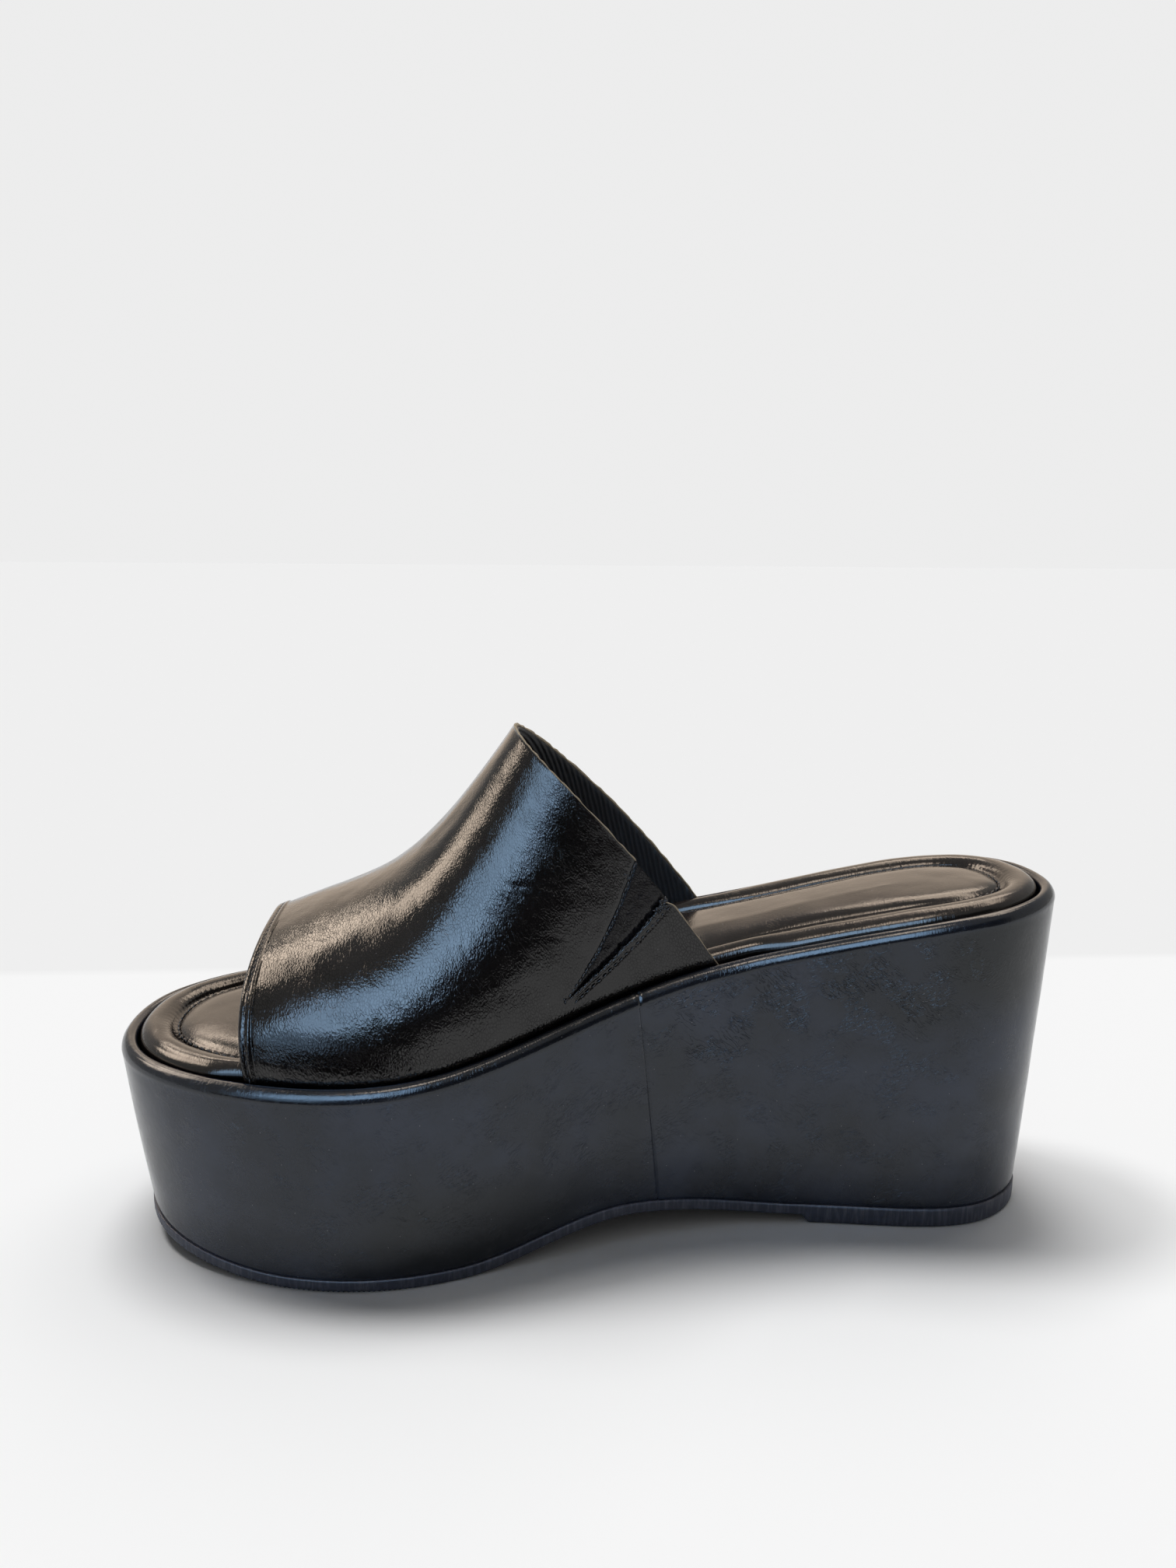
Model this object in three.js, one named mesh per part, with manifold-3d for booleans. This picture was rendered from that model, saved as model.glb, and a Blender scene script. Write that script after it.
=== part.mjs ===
// Flatform slide sandal for the right foot: a wrapped wedge platform on a thin rubber sole,
// with a padded insole in its rim and one wide strap over the instep.
// Millimetres. +X points to the toe, +Y to the medial side, +Z up. The sandal stands on z = 0.
import * as THREE from "three";
import { mergeVertices } from "three/addons/utils/BufferGeometryUtils.js";
import Module from "manifold-3d";

const wasm = await Module();
wasm.setup();

// Overall sizes of the last
const rimLength = 254.2;
const ballWidth = 98;
const heelHeight = 89.4;
const forefootHeight = 51.9;
const instepRise = 78.6;

// Platform
const rimWidth = 4.6;
const rimDepth = 5.2;
const wallSet = 0.7;
const wallBelly = 0.4;
const toeTuck = 7;
const sideTuck = 0.6;
const heelTuck = 7.2;

// Outsole
const soleSheet = 3.2;
const heelLift = 2.2;
const heelLiftLength = 72;
const liftBevel = 1.8;
const archHeight = 6.3;
const toeSpring = 7;
const soleProud = 0.3;
const soleRound = 0.8;

// Insole
const padGap = 0.7;
const tubeHeight = 3.3;
const tubeRise = 2.1;
const channelInset = 15.3;
const channelWidth = 1.8;
const channelSink = 2.1;
const padShoulder = 3;
const padDrop = 0.7;
const padCrown = 0.9;
const spineShare = 0.72;
const insoleRound = 1;

// Strap
const strapWall = 1.6;
const hemWidth = 3;
const hemStep = 0.35;
const gussetWall = 1.1;
// The hem's step falls to the strap's face over this length
const hemFall = 0.45;
// The insole is drawn in beside the strap, from this far past its edges and over this length
const strapMargin = 3;
const strapEase = 11.5;

// Clearance between pieces that lie on each other
const gap = 0.3;
// The strap's outer face stands this far inside the rim's outline, with room for its hem
const strapInset = rimWidth + gap + hemStep;

// Fineness of the faceted surfaces
const outlineSteps = 96;
const arcSteps = 7;
const strapSteps = 27;
const archSteps = 38;
const notchSteps = 6;
const notchArchSteps = 4;
// Rings over the pad's crown, as shares of the way from its shoulder to its spine
const crownShares = [0, 0.35, 0.7];
// Sweeps that settle a smooth curve, and the distance within which points are one
const curveSweeps = 80;
const weld = 1e-4;

// Half widths of the rim on each side of the centre line.
// along: share of rimLength from the heel. medial and lateral: shares of ballWidth.
const OUTLINE = [
  { along: 0.018, medial: 0.166, lateral: 0.182 },
  { along: 0.078, medial: 0.286, lateral: 0.299 },
  { along: 0.175, medial: 0.311, lateral: 0.338 },
  { along: 0.337, medial: 0.266, lateral: 0.362 },
  { along: 0.499, medial: 0.349, lateral: 0.429 },
  { along: 0.64, medial: 0.486, lateral: 0.473 },
  { along: 0.762, medial: 0.516, lateral: 0.483 },
  { along: 0.873, medial: 0.438, lateral: 0.419 },
  { along: 0.951, medial: 0.308, lateral: 0.292 },
  { along: 0.988, medial: 0.17, lateral: 0.16 },
];
// Where the rim's centre line ends, as shares of ballWidth towards the medial side
const heelEndShare = 0;
const toeEndShare = 0.008;

// Height of the rim between the forefoot and the heel.
// along: share of rimLength. climb: share of the step from forefootHeight to heelHeight.
const RIM_LINE = [
  { along: 0, climb: 1 },
  { along: 0.145, climb: 0.89 },
  { along: 0.296, climb: 0.675 },
  { along: 0.448, climb: 0.435 },
  { along: 0.549, climb: 0.235 },
  { along: 0.651, climb: 0.065 },
  { along: 0.802, climb: 0 },
  { along: 1, climb: -0.01 },
];

// Underside of the rubber sheet. The heel part lies on the lift, the ball on the floor.
// Shares of rimLength, and the power that the toe spring curves up by.
const waistShare = 0.285;
const archShare = 0.4735;
const ballShare = 0.64;
const toeShare = 0.802;
const toePower = 1.8;

// Sections of the strap, from its front edge (step 0) to the collar (step 1).
// foot: where each side leaves the channel, and crest: where the section is highest, as shares of
// rimLength. rise: share of instepRise. shift: sideways place of the crest, share of ballWidth.
// full: how square each shoulder is, 2 being an ellipse. bow: forward bulge, share of rimLength.
const STRAP = [
  { step: 0, medialFoot: 0.8395, lateralFoot: 0.8395, crest: 0.846, rise: 0.405, shift: -0.074,
    medialFull: 2.68, lateralFull: 2.15, medialBow: 0.0064, lateralBow: 0.0064 },
  { step: 0.25, medialFoot: 0.722, lateralFoot: 0.718, crest: 0.7806, rise: 0.486, shift: -0.052,
    medialFull: 2.53, lateralFull: 2.32, medialBow: 0.0025, lateralBow: 0.0028 },
  { step: 0.5, medialFoot: 0.604, lateralFoot: 0.5963, crest: 0.7153, rise: 0.5805, shift: -0.03,
    medialFull: 2.4, lateralFull: 2.42, medialBow: -0.0015, lateralBow: -0.0008 },
  { step: 0.75, medialFoot: 0.4864, lateralFoot: 0.4747, crest: 0.65, rise: 0.757, shift: -0.0085,
    medialFull: 2.31, lateralFull: 2.34, medialBow: -0.0054, lateralBow: -0.0044 },
  { step: 1, medialFoot: 0.3688, lateralFoot: 0.3531, crest: 0.5848, rise: 1, shift: 0.0135,
    medialFull: 2.25, lateralFull: 2.15, medialBow: -0.0093, lateralBow: -0.008 },
];

// The notch in the strap's medial side. round: share of the way from the medial channel (0)
// to the crest (1). step: share of the way from the front edge to the collar.
const NOTCH = {
  tip: { step: 0.7, round: 0.112 },
  upper: { step: 1, round: 0.314 },
  lower: { step: 1, round: 0.211 },
};
// The cut for the notch starts a little behind its tip, where it has width, and runs past the
// collar. The gusset starts further behind the tip. All are shares of the notch's own length.
const cutStartShare = 0.013;
const cutPastShare = 0.2;
const gussetStartShare = 0.12;

// A smooth curve through given values: second derivatives by repeated sweeps, natural ends,
// or one loop without a start where closed.
function smoothCurve(places, values, closed = false) {
  const last = places.length - 1;
  const span = places.slice(1).map((place, i) => place - places[i]);
  const slope = span.map((width, i) => (values[i + 1] - values[i]) / width);
  const bend = new Array(places.length).fill(0);
  for (let sweep = 0; sweep < curveSweeps; sweep += 1) {
    for (let i = closed ? 0 : 1; i < last; i += 1) {
      const before = (i + last - 1) % last;
      const after = (i + 1) % (closed ? last : last + 1);
      bend[i] = 6 * (slope[i] - slope[before]) - span[before] * bend[before] - span[i] * bend[after];
      bend[i] /= 2 * (span[before] + span[i]);
    }
    if (closed) bend[last] = bend[0];
  }
  return (at) => {
    const turn = places[last] - places[0];
    const place = closed ? places[0] + ((((at - places[0]) % turn) + turn) % turn) : at;
    let i = 0;
    while (i < last - 1 && place > places[i + 1]) i += 1;
    const a = (places[i + 1] - place) / span[i];
    const b = (place - places[i]) / span[i];
    const cubic = ((a ** 3 - a) * bend[i] + (b ** 3 - b) * bend[i + 1]) * (span[i] ** 2 / 6);
    return a * values[i] + b * values[i + 1] + cubic;
  };
}

function smoothStep(share) {
  const t = Math.min(Math.max(share, 0), 1);
  return t * t * (3 - 2 * t);
}

// The rim's outline, heel end at x = 0, as one closed curve over 0 to 1.
// It runs up the medial side to the toe at 0.5 and back down the lateral side.
function rimOutline() {
  const along = [0, ...OUTLINE.map((row) => row.along), 1];
  const half = [0, ...OUTLINE.map((row) => (row.medial + row.lateral) / 2), 0];
  const steps = along.slice(1).map((value, i) => {
    const forward = (value - along[i]) * rimLength;
    const sideways = (half[i + 1] - half[i]) * ballWidth;
    return Math.sqrt(Math.hypot(forward, sideways));
  });
  const total = 2 * steps.reduce((sum, step) => sum + step, 0);
  const places = [0];
  for (const step of [...steps, ...steps.slice().reverse()]) {
    places.push(places[places.length - 1] + step / total);
  }
  const back = OUTLINE.slice().reverse();
  const x = [...along, ...along.slice(0, -1).reverse()].map((share) => share * rimLength);
  const y = [
    heelEndShare,
    ...OUTLINE.map((row) => row.medial),
    toeEndShare,
    ...back.map((row) => -row.lateral),
    heelEndShare,
  ].map((share) => share * ballWidth);
  const curveX = smoothCurve(places, x, true);
  const curveY = smoothCurve(places, y, true);
  return (at) => new THREE.Vector2(curveX(at), curveY(at));
}

const outlineAt = rimOutline();

// Points round the outline, moved inwards. inset may follow the outward normal and x.
function insetRing(inset, count = outlineSteps) {
  const reach = 1e-4;
  return Array.from({ length: count }, (_, i) => {
    const at = i / count;
    const along = outlineAt(at + reach).sub(outlineAt(at - reach)).normalize();
    const outward = new THREE.Vector2(-along.y, along.x);
    const point = outlineAt(at);
    const distance = typeof inset === "function" ? inset(outward, point.x) : inset;
    return point.addScaledVector(outward, -distance);
  });
}

const rimClimb = smoothCurve(RIM_LINE.map((row) => row.along), RIM_LINE.map((row) => row.climb));

function rimTop(x) {
  const share = Math.min(Math.max(x / rimLength, 0), 1);
  return forefootHeight + (heelHeight - forefootHeight) * rimClimb(share);
}

function deckTop(x) {
  return rimTop(x) - rimDepth;
}

function soleUnderside(x) {
  const share = x / rimLength;
  const between = (from, to) => (share - from) / (to - from);
  const rising = heelLift + (archHeight - heelLift) * smoothStep(between(waistShare, archShare));
  const falling = archHeight * (1 - smoothStep(between(archShare, ballShare)));
  const spring = toeSpring * Math.max(0, between(toeShare, 1)) ** toePower;
  return (share < archShare ? rising : falling) + spring;
}

// How far the foot of the wall stands in from the rim, by which way the wall faces
function wallTuck(outward) {
  const endTuck = outward.x > 0 ? toeTuck : heelTuck;
  return sideTuck + (endTuck - sideTuck) * outward.x ** 2;
}

// A closed body from rings of equal count: walls between them, and strips across both ends
function ringSolid(rings) {
  const count = rings[0].length;
  const points = rings.flat();
  const faces = [];
  rings.slice(1).forEach((_, level) => {
    for (let i = 0; i < count; i += 1) {
      const a = level * count + i;
      const b = level * count + ((i + 1) % count);
      faces.push(a, b, a + count, b, b + count, a + count);
    }
  });
  const close = (start, flip) => {
    const add = (a, b, c) => faces.push(...(flip ? [a, c, b] : [a, b, c]).map((i) => start + i));
    for (let i = 0; i < count / 2; i += 1) {
      const left = i;
      const right = (count - i) % count;
      if (i > 0) add(left, right, left + 1);
      if (i + 1 < count / 2) add(left + 1, right, right === 0 ? count - 1 : right - 1);
    }
  };
  close(0, false);
  close((rings.length - 1) * count, true);
  return toSolid(points, faces);
}

// Faces turned outwards, shared points merged
function toSolid(points, faces) {
  let volume = 0;
  const edge = new THREE.Vector3();
  for (let i = 0; i < faces.length; i += 3) {
    const [a, b, c] = [points[faces[i]], points[faces[i + 1]], points[faces[i + 2]]];
    volume += a.dot(edge.crossVectors(b, c));
  }
  const turned = volume < 0 ? faces.slice().reverse() : faces;
  const geometry = new THREE.BufferGeometry().setFromPoints(points);
  geometry.setIndex(turned);
  return toManifold(geometry);
}

function toManifold(geometry) {
  const bare = geometry.clone();
  bare.deleteAttribute("normal");
  bare.deleteAttribute("uv");
  const merged = mergeVertices(bare, weld);
  return new wasm.Manifold(new wasm.Mesh({
    numProp: 3,
    vertProperties: new Float32Array(merged.attributes.position.array),
    triVerts: new Uint32Array(merged.index.array),
  }));
}

function toGeometry(solid) {
  const mesh = solid.getMesh();
  const geometry = new THREE.BufferGeometry();
  geometry.setAttribute("position", new THREE.BufferAttribute(Float32Array.from(mesh.vertProperties), 3));
  geometry.setIndex(Array.from(mesh.triVerts));
  geometry.computeVertexNormals();
  return geometry;
}

// A ring at a height that follows each point's own x
function ringAt(inset, height) {
  return insetRing(inset).map((p) => new THREE.Vector3(p.x, p.y, height(p.x)));
}

// The wedge: wrapped wall, rolled rim and the sunk deck that carries the insole
function platform() {
  const beadRadius = rimWidth / 2;
  const seat = (x) => soleUnderside(x) + soleSheet;
  const wallTop = (x) => rimTop(x) - rimDepth;
  const rings = [
    ringAt(wallTuck, seat),
    ringAt((n) => (wallTuck(n) + wallSet) / 2 - wallBelly, (x) => (seat(x) + wallTop(x)) / 2),
    ringAt(wallSet, wallTop),
  ];
  const startAngle = Math.PI + Math.acos(1 - wallSet / beadRadius);
  for (let i = 0; i <= arcSteps; i += 1) {
    const angle = startAngle * (1 - i / arcSteps);
    const inset = beadRadius + beadRadius * Math.cos(angle);
    rings.push(ringAt(inset, (x) => rimTop(x) - beadRadius + beadRadius * Math.sin(angle)));
  }
  rings.push(ringAt(rimWidth, deckTop));
  return ringSolid(rings);
}

// The rubber sheet with its arch and toe spring, and the heel lift under it
function outsole() {
  const tuck = (extra) => (n) => wallTuck(n) - soleProud + extra;
  const sheet = ringSolid([
    ringAt(tuck(soleRound), soleUnderside),
    ringAt(tuck(0), (x) => soleUnderside(x) + soleRound),
    ringAt(tuck(0), (x) => soleUnderside(x) + soleSheet - gap),
  ]);
  const lift = ringSolid([
    ringAt(tuck(soleRound), () => 0),
    ringAt(tuck(0), () => soleRound),
    ringAt(tuck(0), () => heelLift + soleRound),
  ]);
  // Seen from the side, its front edge leans back by liftBevel from the sheet down to the floor
  const leanAt = (z) => heelLiftLength + liftBevel * (z / heelLift - 1);
  const [low, high] = [-heelLift, 2 * heelLift];
  const side = new THREE.Shape([
    new THREE.Vector2(-rimLength, low),
    new THREE.Vector2(leanAt(low), low),
    new THREE.Vector2(leanAt(high), high),
    new THREE.Vector2(-rimLength, high),
  ]);
  const heelSide = new THREE.ExtrudeGeometry(side, { depth: 2 * ballWidth, bevelEnabled: false });
  heelSide.rotateX(Math.PI / 2);
  heelSide.translate(0, ballWidth, 0);
  return sheet.add(lift.intersect(toManifold(heelSide)));
}

// How far the insole's edge stands inside the rim's outline: close to the rim where it is open,
// and clear of the strap where that passes
function insoleInset(outward, x) {
  const back = STRAP[STRAP.length - 1].lateralFoot * rimLength - strapMargin;
  const front = STRAP[0].medialFoot * rimLength + strapMargin;
  const beside = smoothStep((x - back + strapEase) / strapEase)
    * smoothStep((front + strapEase - x) / strapEase);
  const open = rimWidth + padGap;
  return open + (strapInset + strapWall + gap - open) * beside;
}

// The padded insole: a stuffed tube round its edge, a stitched channel, and a crowned middle
function insole() {
  const tubeTop = (x) => rimTop(x) + tubeRise;
  const endAngle = Math.asin(1 - channelSink / tubeHeight);
  const acrossTube = (angle) => (outward, x) => {
    const edge = insoleInset(outward, x);
    return edge + (channelInset - channelWidth - edge) * ((1 + Math.cos(angle)) / (1 + Math.cos(endAngle)));
  };
  const rings = [
    ringAt((outward, x) => insoleInset(outward, x) + insoleRound, (x) => deckTop(x) + gap),
    ringAt(insoleInset, (x) => deckTop(x) + gap + insoleRound),
  ];
  for (let i = 0; i <= arcSteps; i += 1) {
    const angle = Math.PI + (endAngle - Math.PI) * (i / arcSteps);
    rings.push(ringAt(acrossTube(angle), (x) => tubeTop(x) + tubeHeight * (Math.sin(angle) - 1)));
  }
  rings.push(ringAt(channelInset, (x) => tubeTop(x) - channelSink));
  const shoulder = insetRing(channelInset + padShoulder);
  for (const share of crownShares) {
    const rise = padCrown * Math.sin((share * Math.PI) / 2) - padDrop;
    rings.push(shoulder.map((p) => {
      const q = p.clone().lerp(insoleSpine(p), share);
      return new THREE.Vector3(q.x, q.y, tubeTop(q.x) + rise);
    }));
  }
  return ringSolid(rings);
}

// The line down the middle of the pad that its crown draws in to
function insoleSpine(p) {
  const x = rimLength / 2 + (p.x - rimLength / 2) * spineShare;
  return new THREE.Vector2(x, (heelEndShare + (toeEndShare - heelEndShare) * (x / rimLength)) * ballWidth);
}

// Side of the strap at a given x: the channel beside the rim, on the medial or the lateral side
function channelSide(medial) {
  const points = insetRing(strapInset, 8 * outlineSteps).filter((p) => p.y > 0 === medial);
  points.sort((a, b) => a.x - b.x);
  return (x) => {
    let i = 0;
    while (i < points.length - 2 && x > points[i + 1].x) i += 1;
    const [a, b] = [points[i], points[i + 1]];
    return a.y + ((b.y - a.y) * (x - a.x)) / (b.x - a.x);
  };
}

const channelY = { medial: channelSide(true), lateral: channelSide(false) };

const strapCurve = Object.fromEntries(Object.keys(STRAP[0]).map((name) => [
  name,
  smoothCurve(STRAP.map((row) => row.step), STRAP.map((row) => row[name])),
]));

// The strap's outer face. step runs from the front edge (0) to the collar (1), round from the
// medial channel (0) over the crest (1) to the lateral channel (2).
function strapPoint(step, round) {
  const side = round <= 1 ? "medial" : "lateral";
  const turn = (Math.PI / 2) * (round <= 1 ? round : 2 - round);
  const full = strapCurve[`${side}Full`](step);
  const reach = (Math.cos(turn) ** full + Math.sin(turn) ** full) ** (-1 / full);
  const out = reach * Math.cos(turn);
  const up = reach * Math.sin(turn);
  const foot = strapCurve[`${side}Foot`](step);
  const bow = strapCurve[`${side}Bow`](step) * 4 * up * (1 - up);
  const x = (foot + (strapCurve.crest(step) - foot) * up + bow) * rimLength;
  const y = strapCurve.shift(step) * ballWidth * (1 - out) + channelY[side](x) * out;
  const z = deckTop(x) + gap + strapCurve.rise(step) * instepRise * up;
  return new THREE.Vector3(x, y, z);
}

function strapNormal(step, round) {
  const reach = 1e-3;
  const along = strapPoint(step + reach, round).sub(strapPoint(step - reach, round));
  const low = Math.max(round - reach, 0);
  const high = Math.min(round + reach, 2);
  const across = strapPoint(step, high).sub(strapPoint(step, low));
  return along.cross(across).normalize();
}

// A curved slab of the strap: steps by rounds, between two depths under its outer face
function strapSlab(steps, roundsAt, outerDepth, innerDepth) {
  const rows = steps.map((step, i) => roundsAt(i).map((round) => [step, round]));
  const layer = (depth) => rows.map((row) => row.map(([step, round]) => (
    strapPoint(step, round).addScaledVector(strapNormal(step, round), -depth(step))
  )));
  const [outer, inner] = [layer(outerDepth), layer(innerDepth)];
  const width = rows[0].length;
  const points = [...outer.flat(), ...inner.flat()];
  const under = rows.length * width;
  const faces = [];
  const quad = (a, b, c, d) => faces.push(a, b, c, a, c, d);
  for (let i = 0; i + 1 < rows.length; i += 1) {
    for (let j = 0; j + 1 < width; j += 1) {
      const a = i * width + j;
      quad(a, a + 1, a + 1 + width, a + width);
      quad(under + a, under + a + width, under + a + 1 + width, under + a + 1);
    }
    const [left, right] = [i * width, i * width + width - 1];
    quad(left, left + width, left + width + under, left + under);
    quad(right, right + under, right + width + under, right + width);
  }
  const lastRow = (rows.length - 1) * width;
  for (let j = 0; j + 1 < width; j += 1) {
    quad(j, j + under, j + 1 + under, j + 1);
    quad(lastRow + j, lastRow + j + 1, lastRow + j + 1 + under, lastRow + j + under);
  }
  return toSolid(points, faces);
}

function spread(from, to, count) {
  return Array.from({ length: count + 1 }, (_, i) => from + ((to - from) * i) / count);
}

// A step of the strap by its share of the way from the notch's tip to the collar
function notchStep(share) {
  return NOTCH.tip.step + share * (NOTCH.upper.step - NOTCH.tip.step);
}

// The notch's rounds at one of its steps, drawn in by a margin from both seams
function notchRounds(step, margin) {
  const share = (step - NOTCH.tip.step) / (NOTCH.upper.step - NOTCH.tip.step);
  const edge = (end) => NOTCH.tip.round + (end.round - NOTCH.tip.round) * share;
  const turn = NOTCH.upper.round - NOTCH.tip.round;
  const width = strapPoint(step, NOTCH.tip.round).distanceTo(strapPoint(step, NOTCH.upper.round));
  const inset = (margin * turn) / width;
  return spread(edge(NOTCH.lower) + inset, edge(NOTCH.upper) - inset, notchArchSteps);
}

function upper() {
  const strapLength = rimLength * (STRAP[0].medialFoot - STRAP[STRAP.length - 1].medialFoot);
  const hemEnd = hemWidth / strapLength;
  const steps = [0, hemEnd, ...spread((hemWidth + hemFall) / strapLength, 1, strapSteps)];
  const rounds = spread(0, 2, archSteps);
  const wall = strapSlab(steps, () => rounds, (step) => (step <= hemEnd ? -hemStep : 0), () => strapWall);
  const cut = spread(notchStep(cutStartShare), notchStep(1 + cutPastShare), notchSteps);
  const notch = strapSlab(cut, (i) => notchRounds(cut[i], 0), () => -2 * strapWall, () => 3 * strapWall);
  return wall.subtract(notch);
}

function gusset() {
  const steps = spread(notchStep(gussetStartShare), NOTCH.upper.step, notchSteps);
  return strapSlab(steps, (i) => notchRounds(steps[i], gap), () => strapWall - gussetWall, () => strapWall);
}

// Finishes
const patent = { color: 0x0b0b0d, roughness: 0.18, metalness: 0 };
const finishes = {
  outsole: { color: 0x1b1d22, roughness: 0.62, metalness: 0 },
  platform: { color: 0x101216, roughness: 0.34, metalness: 0 },
  insole: { color: 0x161412, roughness: 0.3, metalness: 0 },
  upper: patent,
  gusset: { ...patent, roughness: 0.3 },
};

const sandal = new THREE.Group();
const solids = { outsole, platform, insole, upper, gusset };
for (const [name, build] of Object.entries(solids)) {
  const mesh = new THREE.Mesh(toGeometry(build()), new THREE.MeshStandardMaterial(finishes[name]));
  mesh.name = name;
  sandal.add(mesh);
}

// The origin lies under the middle of the sandal, on the floor
const bounds = new THREE.Box3().setFromObject(sandal);
const centre = bounds.getCenter(new THREE.Vector3());
sandal.position.set(-centre.x, -centre.y, -bounds.min.z);

export default sandal;
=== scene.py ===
"""Looks of the flatform slide sandal: wrapped wedge, rolled rim, padded insole, creased glossy strap
with its small gusset, ribbed lining, thread and rubber sole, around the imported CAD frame.

Sizes and tables are in millimetres or in shares of them, in the sandal's own frame: x from the heel
end to the toe, y to the medial side, z up from the floor. place() turns them into the row frame."""

import math

import bpy
import numpy as np
from mathutils import Matrix, Vector


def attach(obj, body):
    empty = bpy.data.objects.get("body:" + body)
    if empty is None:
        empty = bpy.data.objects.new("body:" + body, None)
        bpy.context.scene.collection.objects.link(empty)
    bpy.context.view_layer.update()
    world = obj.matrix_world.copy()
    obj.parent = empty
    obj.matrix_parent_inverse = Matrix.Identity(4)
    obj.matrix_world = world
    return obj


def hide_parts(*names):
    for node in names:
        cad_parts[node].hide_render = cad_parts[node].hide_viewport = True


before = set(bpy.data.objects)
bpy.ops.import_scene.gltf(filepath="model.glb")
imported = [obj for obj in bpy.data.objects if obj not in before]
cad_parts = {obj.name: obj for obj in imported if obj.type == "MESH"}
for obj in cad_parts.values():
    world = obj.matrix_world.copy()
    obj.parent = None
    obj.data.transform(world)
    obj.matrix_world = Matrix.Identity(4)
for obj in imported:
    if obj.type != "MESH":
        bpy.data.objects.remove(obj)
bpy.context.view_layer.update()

MM = 0.001
TURN = 2 * math.pi


def table(columns, *rows):
    """Rows of values as dictionaries with the given column names."""
    return [dict(zip(columns.split(), row)) for row in rows]


# The camera stands where the photograph was taken from, worked out from the sandal's outlines

IMAGE_WIDTH = 1512
FOCAL_PIXELS = 1514
CAMERA_DISTANCE = 329.34
CAMERA_TURN = math.radians(3.8)
CAMERA_PITCH = math.radians(11.76)
CAMERA_ROLL = math.radians(0.44)
CAMERA_SIDE = -2.15
CAMERA_RISE = 63.37
CAMERA_TARGET = np.array([-0.4, -1.67, 50.9])
SENSOR = 36.0


def make_camera():
    data = bpy.data.cameras.new("camera")
    data.sensor_fit = "HORIZONTAL"
    data.sensor_width = SENSOR
    data.lens = SENSOR * FOCAL_PIXELS / IMAGE_WIDTH
    data.clip_start = 0.01
    data.clip_end = 50
    back = np.array([
        math.sin(CAMERA_TURN) * math.cos(CAMERA_PITCH),
        math.cos(CAMERA_TURN) * math.cos(CAMERA_PITCH),
        math.sin(CAMERA_PITCH),
    ])
    right = np.array([-math.cos(CAMERA_TURN), math.sin(CAMERA_TURN), 0.0])
    up = np.cross(right, -back)
    spot = CAMERA_TARGET + back * CAMERA_DISTANCE + right * CAMERA_SIDE + up * CAMERA_RISE
    rolled_right = right * math.cos(CAMERA_ROLL) + up * math.sin(CAMERA_ROLL)
    rolled_up = up * math.cos(CAMERA_ROLL) - right * math.sin(CAMERA_ROLL)
    camera = bpy.data.objects.new("camera", data)
    bpy.context.scene.collection.objects.link(camera)
    turn = Matrix([rolled_right, rolled_up, back]).transposed()
    camera.matrix_world = Matrix.Translation(Vector(spot * MM)) @ turn.to_4x4()
    bpy.context.scene.camera = camera


make_camera()


# Sizes of the last and of the pieces, as the CAD model has them
RIM_LENGTH = 254.2
BALL_WIDTH = 98.0
HEEL_HEIGHT = 89.4
FOREFOOT_HEIGHT = 51.9
INSTEP_RISE = 78.6
RIM_WIDTH = 4.6
RIM_DEPTH = 5.2
WALL_BELLY = 0.4
TOE_TUCK = 7.0
SIDE_TUCK = 0.6
HEEL_TUCK = 7.2
SOLE_SHEET = 3.2
HEEL_LIFT = 2.2
HEEL_LIFT_LENGTH = 72.0
LIFT_BEVEL = 1.8
ARCH_HEIGHT = 6.3
TOE_SPRING = 7.0
SOLE_PROUD = 0.3
PAD_GAP = 0.7
TUBE_HEIGHT = 3.3
TUBE_RISE = 2.1
CHANNEL_INSET = 15.3
CHANNEL_WIDTH = 1.8
CHANNEL_SINK = 2.1
PAD_DROP = 0.7
PAD_CROWN = 0.9
SPINE_SHARE = 0.72
STRAP_WALL = 1.6
HEM_WIDTH = 3.0
HEM_STEP = 0.35
STRAP_MARGIN = 3.0
STRAP_EASE = 11.5
GAP = 0.3
STRAP_INSET = RIM_WIDTH + GAP + HEM_STEP

# Half widths of the rim: along is a share of the length, medial and lateral of the ball width
OUTLINE = table(
    "along medial lateral",
    (0.018, 0.166, 0.182),
    (0.078, 0.286, 0.299),
    (0.175, 0.311, 0.338),
    (0.337, 0.266, 0.362),
    (0.499, 0.349, 0.429),
    (0.64, 0.486, 0.473),
    (0.762, 0.516, 0.483),
    (0.873, 0.438, 0.419),
    (0.951, 0.308, 0.292),
    (0.988, 0.17, 0.16),
)
TOE_END_SHARE = 0.008

# Height of the rim: climb is a share of the step from forefoot to heel height
RIM_LINE = table(
    "along climb",
    (0, 1),
    (0.145, 0.89),
    (0.296, 0.675),
    (0.448, 0.435),
    (0.549, 0.235),
    (0.651, 0.065),
    (0.802, 0),
    (1, -0.01),
)
WAIST_SHARE = 0.285
ARCH_SHARE = 0.4735
BALL_SHARE = 0.64
TOE_SHARE = 0.802
TOE_POWER = 1.8

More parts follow.
